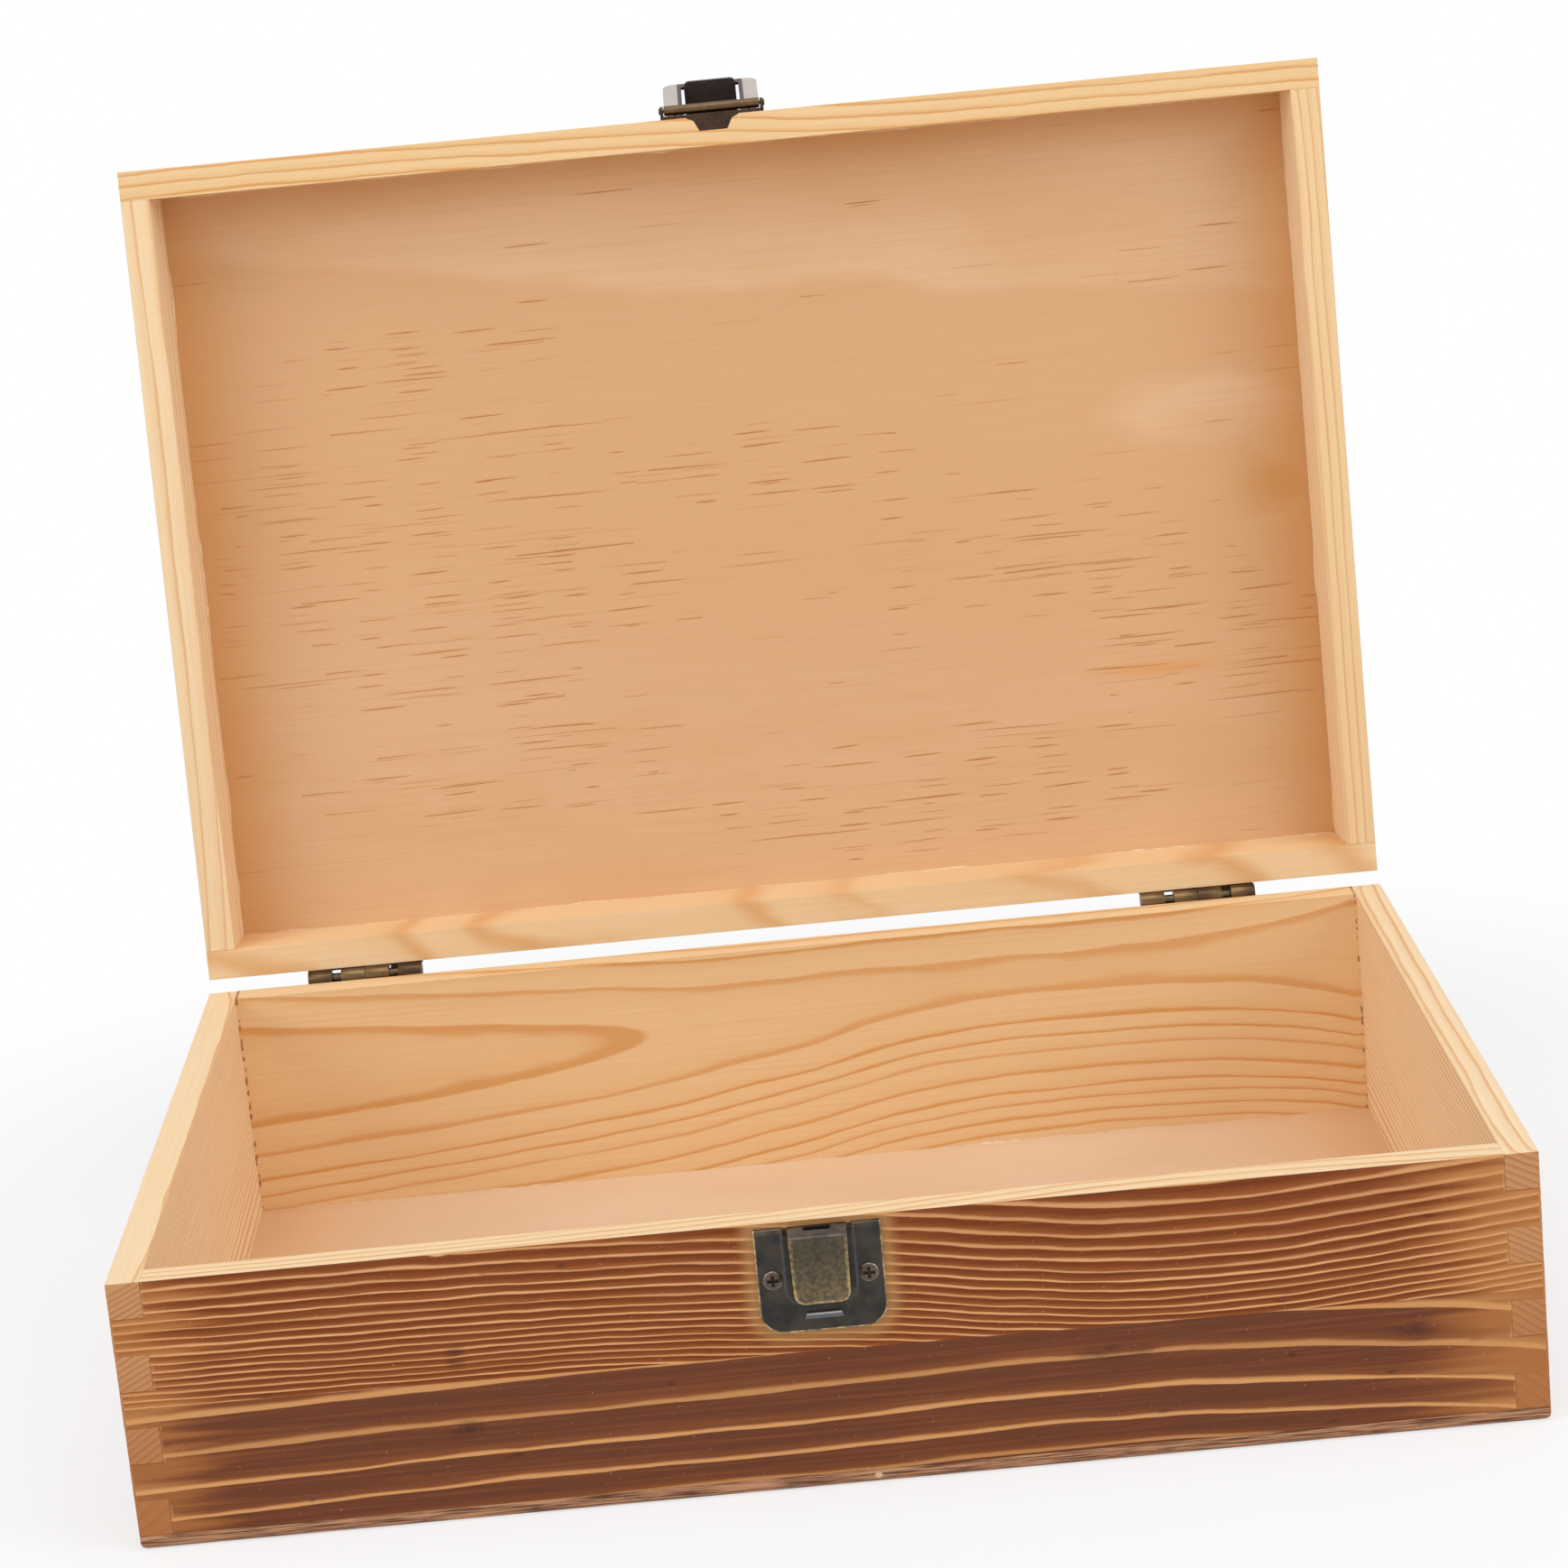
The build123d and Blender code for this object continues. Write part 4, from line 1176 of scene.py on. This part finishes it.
# %% [markdown]
# ## Squeezed-out glue
# Where the panels meet the boards, a little glue came out and dried in the inner corner. A bead is a
# hollow quarter-round profile carried along the corner; its size wanders between almost nothing and
# three quarters of a millimetre. The random draws are seeded, so each run gives the same beads.

# %% Lines for the beads
draw = np.random.default_rng(7)


def wander(count, steps):
    """A smooth random line from 0 to 1: random knots, one in each run of steps, joined by S-curves."""
    knots = draw.random(count // steps + 3)
    at = np.linspace(0, len(knots) - 1.001, count)
    low = at.astype(int)
    share = at - low
    share = share * share * (3 - 2 * share)
    return knots[low] * (1 - share) + knots[low + 1] * share


def lid_opened(points):
    """Points of the closed lid, in millimetres, turned about the hinge line by the lid's angle."""
    moved = points.copy()
    dy, dz = points[:, 1] - hinge_y, points[:, 2] - hinge_z
    moved[:, 1] = hinge_y + cos(lid_angle) * dy + sin(lid_angle) * dz
    moved[:, 2] = hinge_z - sin(lid_angle) * dy + cos(lid_angle) * dz
    return moved


def inner_corners(height, up):
    """Corner lines where a panel at this height meets the four boards, and the way into the box."""
    x, y = half_width - wall, half_depth - wall
    return [
        ((-x, y, height), (x, y, height), (0, -1, 0), up),
        ((-x, -y, height), (x, -y, height), (0, 1, 0), up),
        ((-x, -y, height), (-x, y, height), (1, 0, 0), up),
        ((x, -y, height), (x, y, height), (-1, 0, 0), up),
    ]


print("random line of three:", wander(3, 4).round(2))

# %% Shape of a bead
bead_step, broad_steps, close_steps, broad_share, close_share = 1.2, 14, 4, 0.65, 0.35
smallest_bead, largest_bead, gap_share, taper_steps = 0.03, 0.75, 0.52, 3
arc_points, arc_size, arc_lift, sunk_corner = 6, 0.9, 0.02, [-0.1, -0.1]


def corner_bead(start, end, inward, up):
    """A bead in the corner line from start to end: at each step s a hollow quarter circle of size r(s)
    between the two walls' directions, with r almost nothing over the gap's share of the line."""
    start, end, inward, up = (np.array(v, float) for v in (start, end, inward, up))
    count = int(np.linalg.norm(end - start) / bead_step)
    wave = broad_share * wander(count, broad_steps) + close_share * wander(count, close_steps)
    size = np.clip((wave - gap_share) / (1 - gap_share), 0, 1)
    steps = np.arange(count)
    taper = np.minimum(1, np.minimum(steps, steps[::-1]) / taper_steps)
    size = (smallest_bead + (largest_bead - smallest_bead) * size) * taper
    turn = np.linspace(0, np.pi / 2, arc_points)
    hollow = np.stack([1 - np.sin(turn), 1 - np.cos(turn)], 1) * arc_size + arc_lift
    profile = np.concatenate([[sunk_corner], hollow])
    line = start + np.linspace(0, 1, count)[:, None] * (end - start)
    offset = profile[:, :1] * inward + profile[:, 1:] * up
    points = line[:, None] + size[:, None, None] * offset[None]
    ring = points.shape[1]
    a, b = np.meshgrid(np.arange(count - 1), np.arange(ring), indexing="ij")
    following = (b + 1) % ring
    corners = [a * ring + b, a * ring + following, (a + 1) * ring + following, (a + 1) * ring + b]
    faces = np.stack(corners, -1).reshape(-1, 4)
    inside_out = np.cross(inward, up) @ (end - start) < 0
    return points.reshape(-1, 3), faces[:, ::-1] if inside_out else faces


print("beads from", smallest_bead, "to", largest_bead, "mm")

# %% Bead pieces
closing_reach = 0.0001


def bead_piece(name, beads, opened):
    """One object from several beads, in metres; a Weld closes each bead to a point at its ends."""
    points, faces, total = [], [], 0
    for bead_points, bead_faces in beads:
        points.append(lid_opened(bead_points) if opened else bead_points)
        faces.append(bead_faces + total)
        total += len(bead_points)
    mesh = bpy.data.meshes.new(name)
    mesh.from_pydata((np.concatenate(points) * MM).tolist(), [], np.concatenate(faces).tolist())
    mesh.shade_smooth()
    piece = bpy.data.objects.new(name, mesh)
    bpy.context.scene.collection.objects.link(piece)
    closing = piece.modifiers.new("closed_ends", "WELD")
    closing.merge_threshold = closing_reach * MM
    return piece


glue_rough, glue_specular, glue_relief = 0.35, 0.4, 0.1
glue_clear, glue_pale = colour(224, 182, 136), colour(238, 208, 170)
cloudy_cells, cloudy_step, ripple_cells = (3, 3, 3), (0.35, 0.65), (1.2, 1.2, 1.2)
glue, tree, shader = finish_material("dried_glue", glue_rough, glue_specular)
spot = closed_place(tree, False)
cloudy = ramp(tree, noise(tree, spot, cloudy_cells), *cloudy_step)
feed(tree, shader.inputs["Base Color"], mix(tree, cloudy, glue_clear, glue_pale))
bump(tree, shader, noise(tree, spot, ripple_cells), glue_relief)

for name, body, slot, height, up in (
    ("floor_glue", "box", "bottom_panel", floor_height, (0, 0, 1)),
    ("lid_glue", "lid", "lid_panel", lid_panel_height, (0, 0, -1)),
):
    beads = [corner_bead(*corner) for corner in inner_corners(height, up)]
    piece = bead_piece(name, beads, body == "lid")
    piece.data.materials.append(glue)
    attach(piece, body)
    print(name, len(piece.data.polygons), "faces")

# %% [markdown]
# ## Floor and world
# The photograph is a cut-out on white, so the floor is plain and pale and the world is white to the
# camera. The floor keeps the box's soft shadow; farther out it turns into plain white for the
# camera and for mirrored light, so no horizon shows.

# %% Floor
floor_reach, floor_grey, floor_white = 6.0, 0.9, (0.22, 0.45, 0.66, 1.0)
floor_rough, floor_specular = 0.9, 0.1
ways = ((-1, -1), (1, -1), (1, 1), (-1, 1))
floor_mesh = bpy.data.meshes.new("floor")
floor_mesh.from_pydata([(x * floor_reach, y * floor_reach, 0) for x, y in ways], [], [(0, 1, 2, 3)])
floor = bpy.data.objects.new("floor", floor_mesh)
bpy.context.scene.collection.objects.link(floor)


def seen_directly(tree):
    """1 for what the camera sees, also in a mirror or through glass; 0 for what only lights the scene."""
    path = place(tree, "LightPath").outputs
    return most(tree, path["Is Camera Ray"], path["Is Glossy Ray"], path["Is Transmission Ray"])


paper, tree, shader = finish_material("pale_floor", floor_rough, floor_specular)
shader.inputs["Base Color"].default_value = (floor_grey, floor_grey, floor_grey, 1.0)
x, y, _ = split(tree, place(tree, "TexCoord").outputs["Object"])
white_share = ramp(tree, length(tree, x, y), *floor_white)
white = place(tree, "Emission", (1, 1, 1, 1), 1.0)
share = times(tree, white_share, seen_directly(tree))
blend = place(tree, "MixShader", share, shader.outputs[0], white.outputs[0])
feed(tree, tree.nodes["Material Output"].inputs["Surface"], blend.outputs[0])
floor_mesh.materials.append(paper)
print("floor", 2 * floor_reach, "m wide")

# %% World
ambient = 0.49
world = bpy.data.worlds.new("studio")
bpy.context.scene.world = world
world.use_nodes = True
tree = world.node_tree
sky = tree.nodes["Background"]
sky.inputs["Color"].default_value = (1, 1, 1, 1)
feed(tree, sky.inputs["Strength"], scaled(tree, seen_directly(tree), 1 - ambient, ambient))
print("ambient light", ambient)

# %% [markdown]
# ## Lamps and camera
# Large soft lamps stand above and to both sides, so shadows are faint. The camera has the photograph's
# place, worked out from the corners of the box: nearly square to the front, a little above, and
# rolled a few degrees.

# %% Lamps
lamps = {
    "top_lamp": ((0.0, -0.35, 1.7), (0, 0, 0.1), 1.3, 10.5),
    "left_lamp": ((-1.4, -0.85, 0.9), (0, 0, 0.12), 0.9, 8.0),
    "right_lamp": ((1.4, -0.85, 0.9), (0, 0, 0.12), 0.9, 8.0),
}
for name, (spot, aim, size, power) in lamps.items():
    data = bpy.data.lights.new(name, "AREA")
    data.shape, data.size, data.energy = "SQUARE", size, power
    lamp = bpy.data.objects.new(name, data)
    bpy.context.scene.collection.objects.link(lamp)
    lamp.location = spot
    lamp.rotation_euler = (Vector(aim) - Vector(spot)).to_track_quat("-Z", "Y").to_euler()
print("lamps:", len(bpy.data.lights))

# %% Camera
right, up = (0.99553, -0.014259, -0.093365), (0.093927, 0.253194, 0.962845)
back = (0.009911, -0.96731, 0.253402)
camera_spot = (0.000089, -1.025707, 0.404252)
camera_data = bpy.data.cameras.new("camera")
camera_data.lens, camera_data.sensor_width = 97.08, 36.0
camera_data.shift_x, camera_data.shift_y = 0.0282, 0.0150
camera = bpy.data.objects.new("camera", camera_data)
bpy.context.scene.collection.objects.link(camera)
camera.rotation_mode = "QUATERNION"
camera.rotation_quaternion = Matrix((right, up, back)).transposed().to_quaternion()
camera.location = camera_spot
bpy.context.scene.camera = camera
bpy.context.scene.view_settings.view_transform = "Standard"
print("camera at", tuple(camera.location))
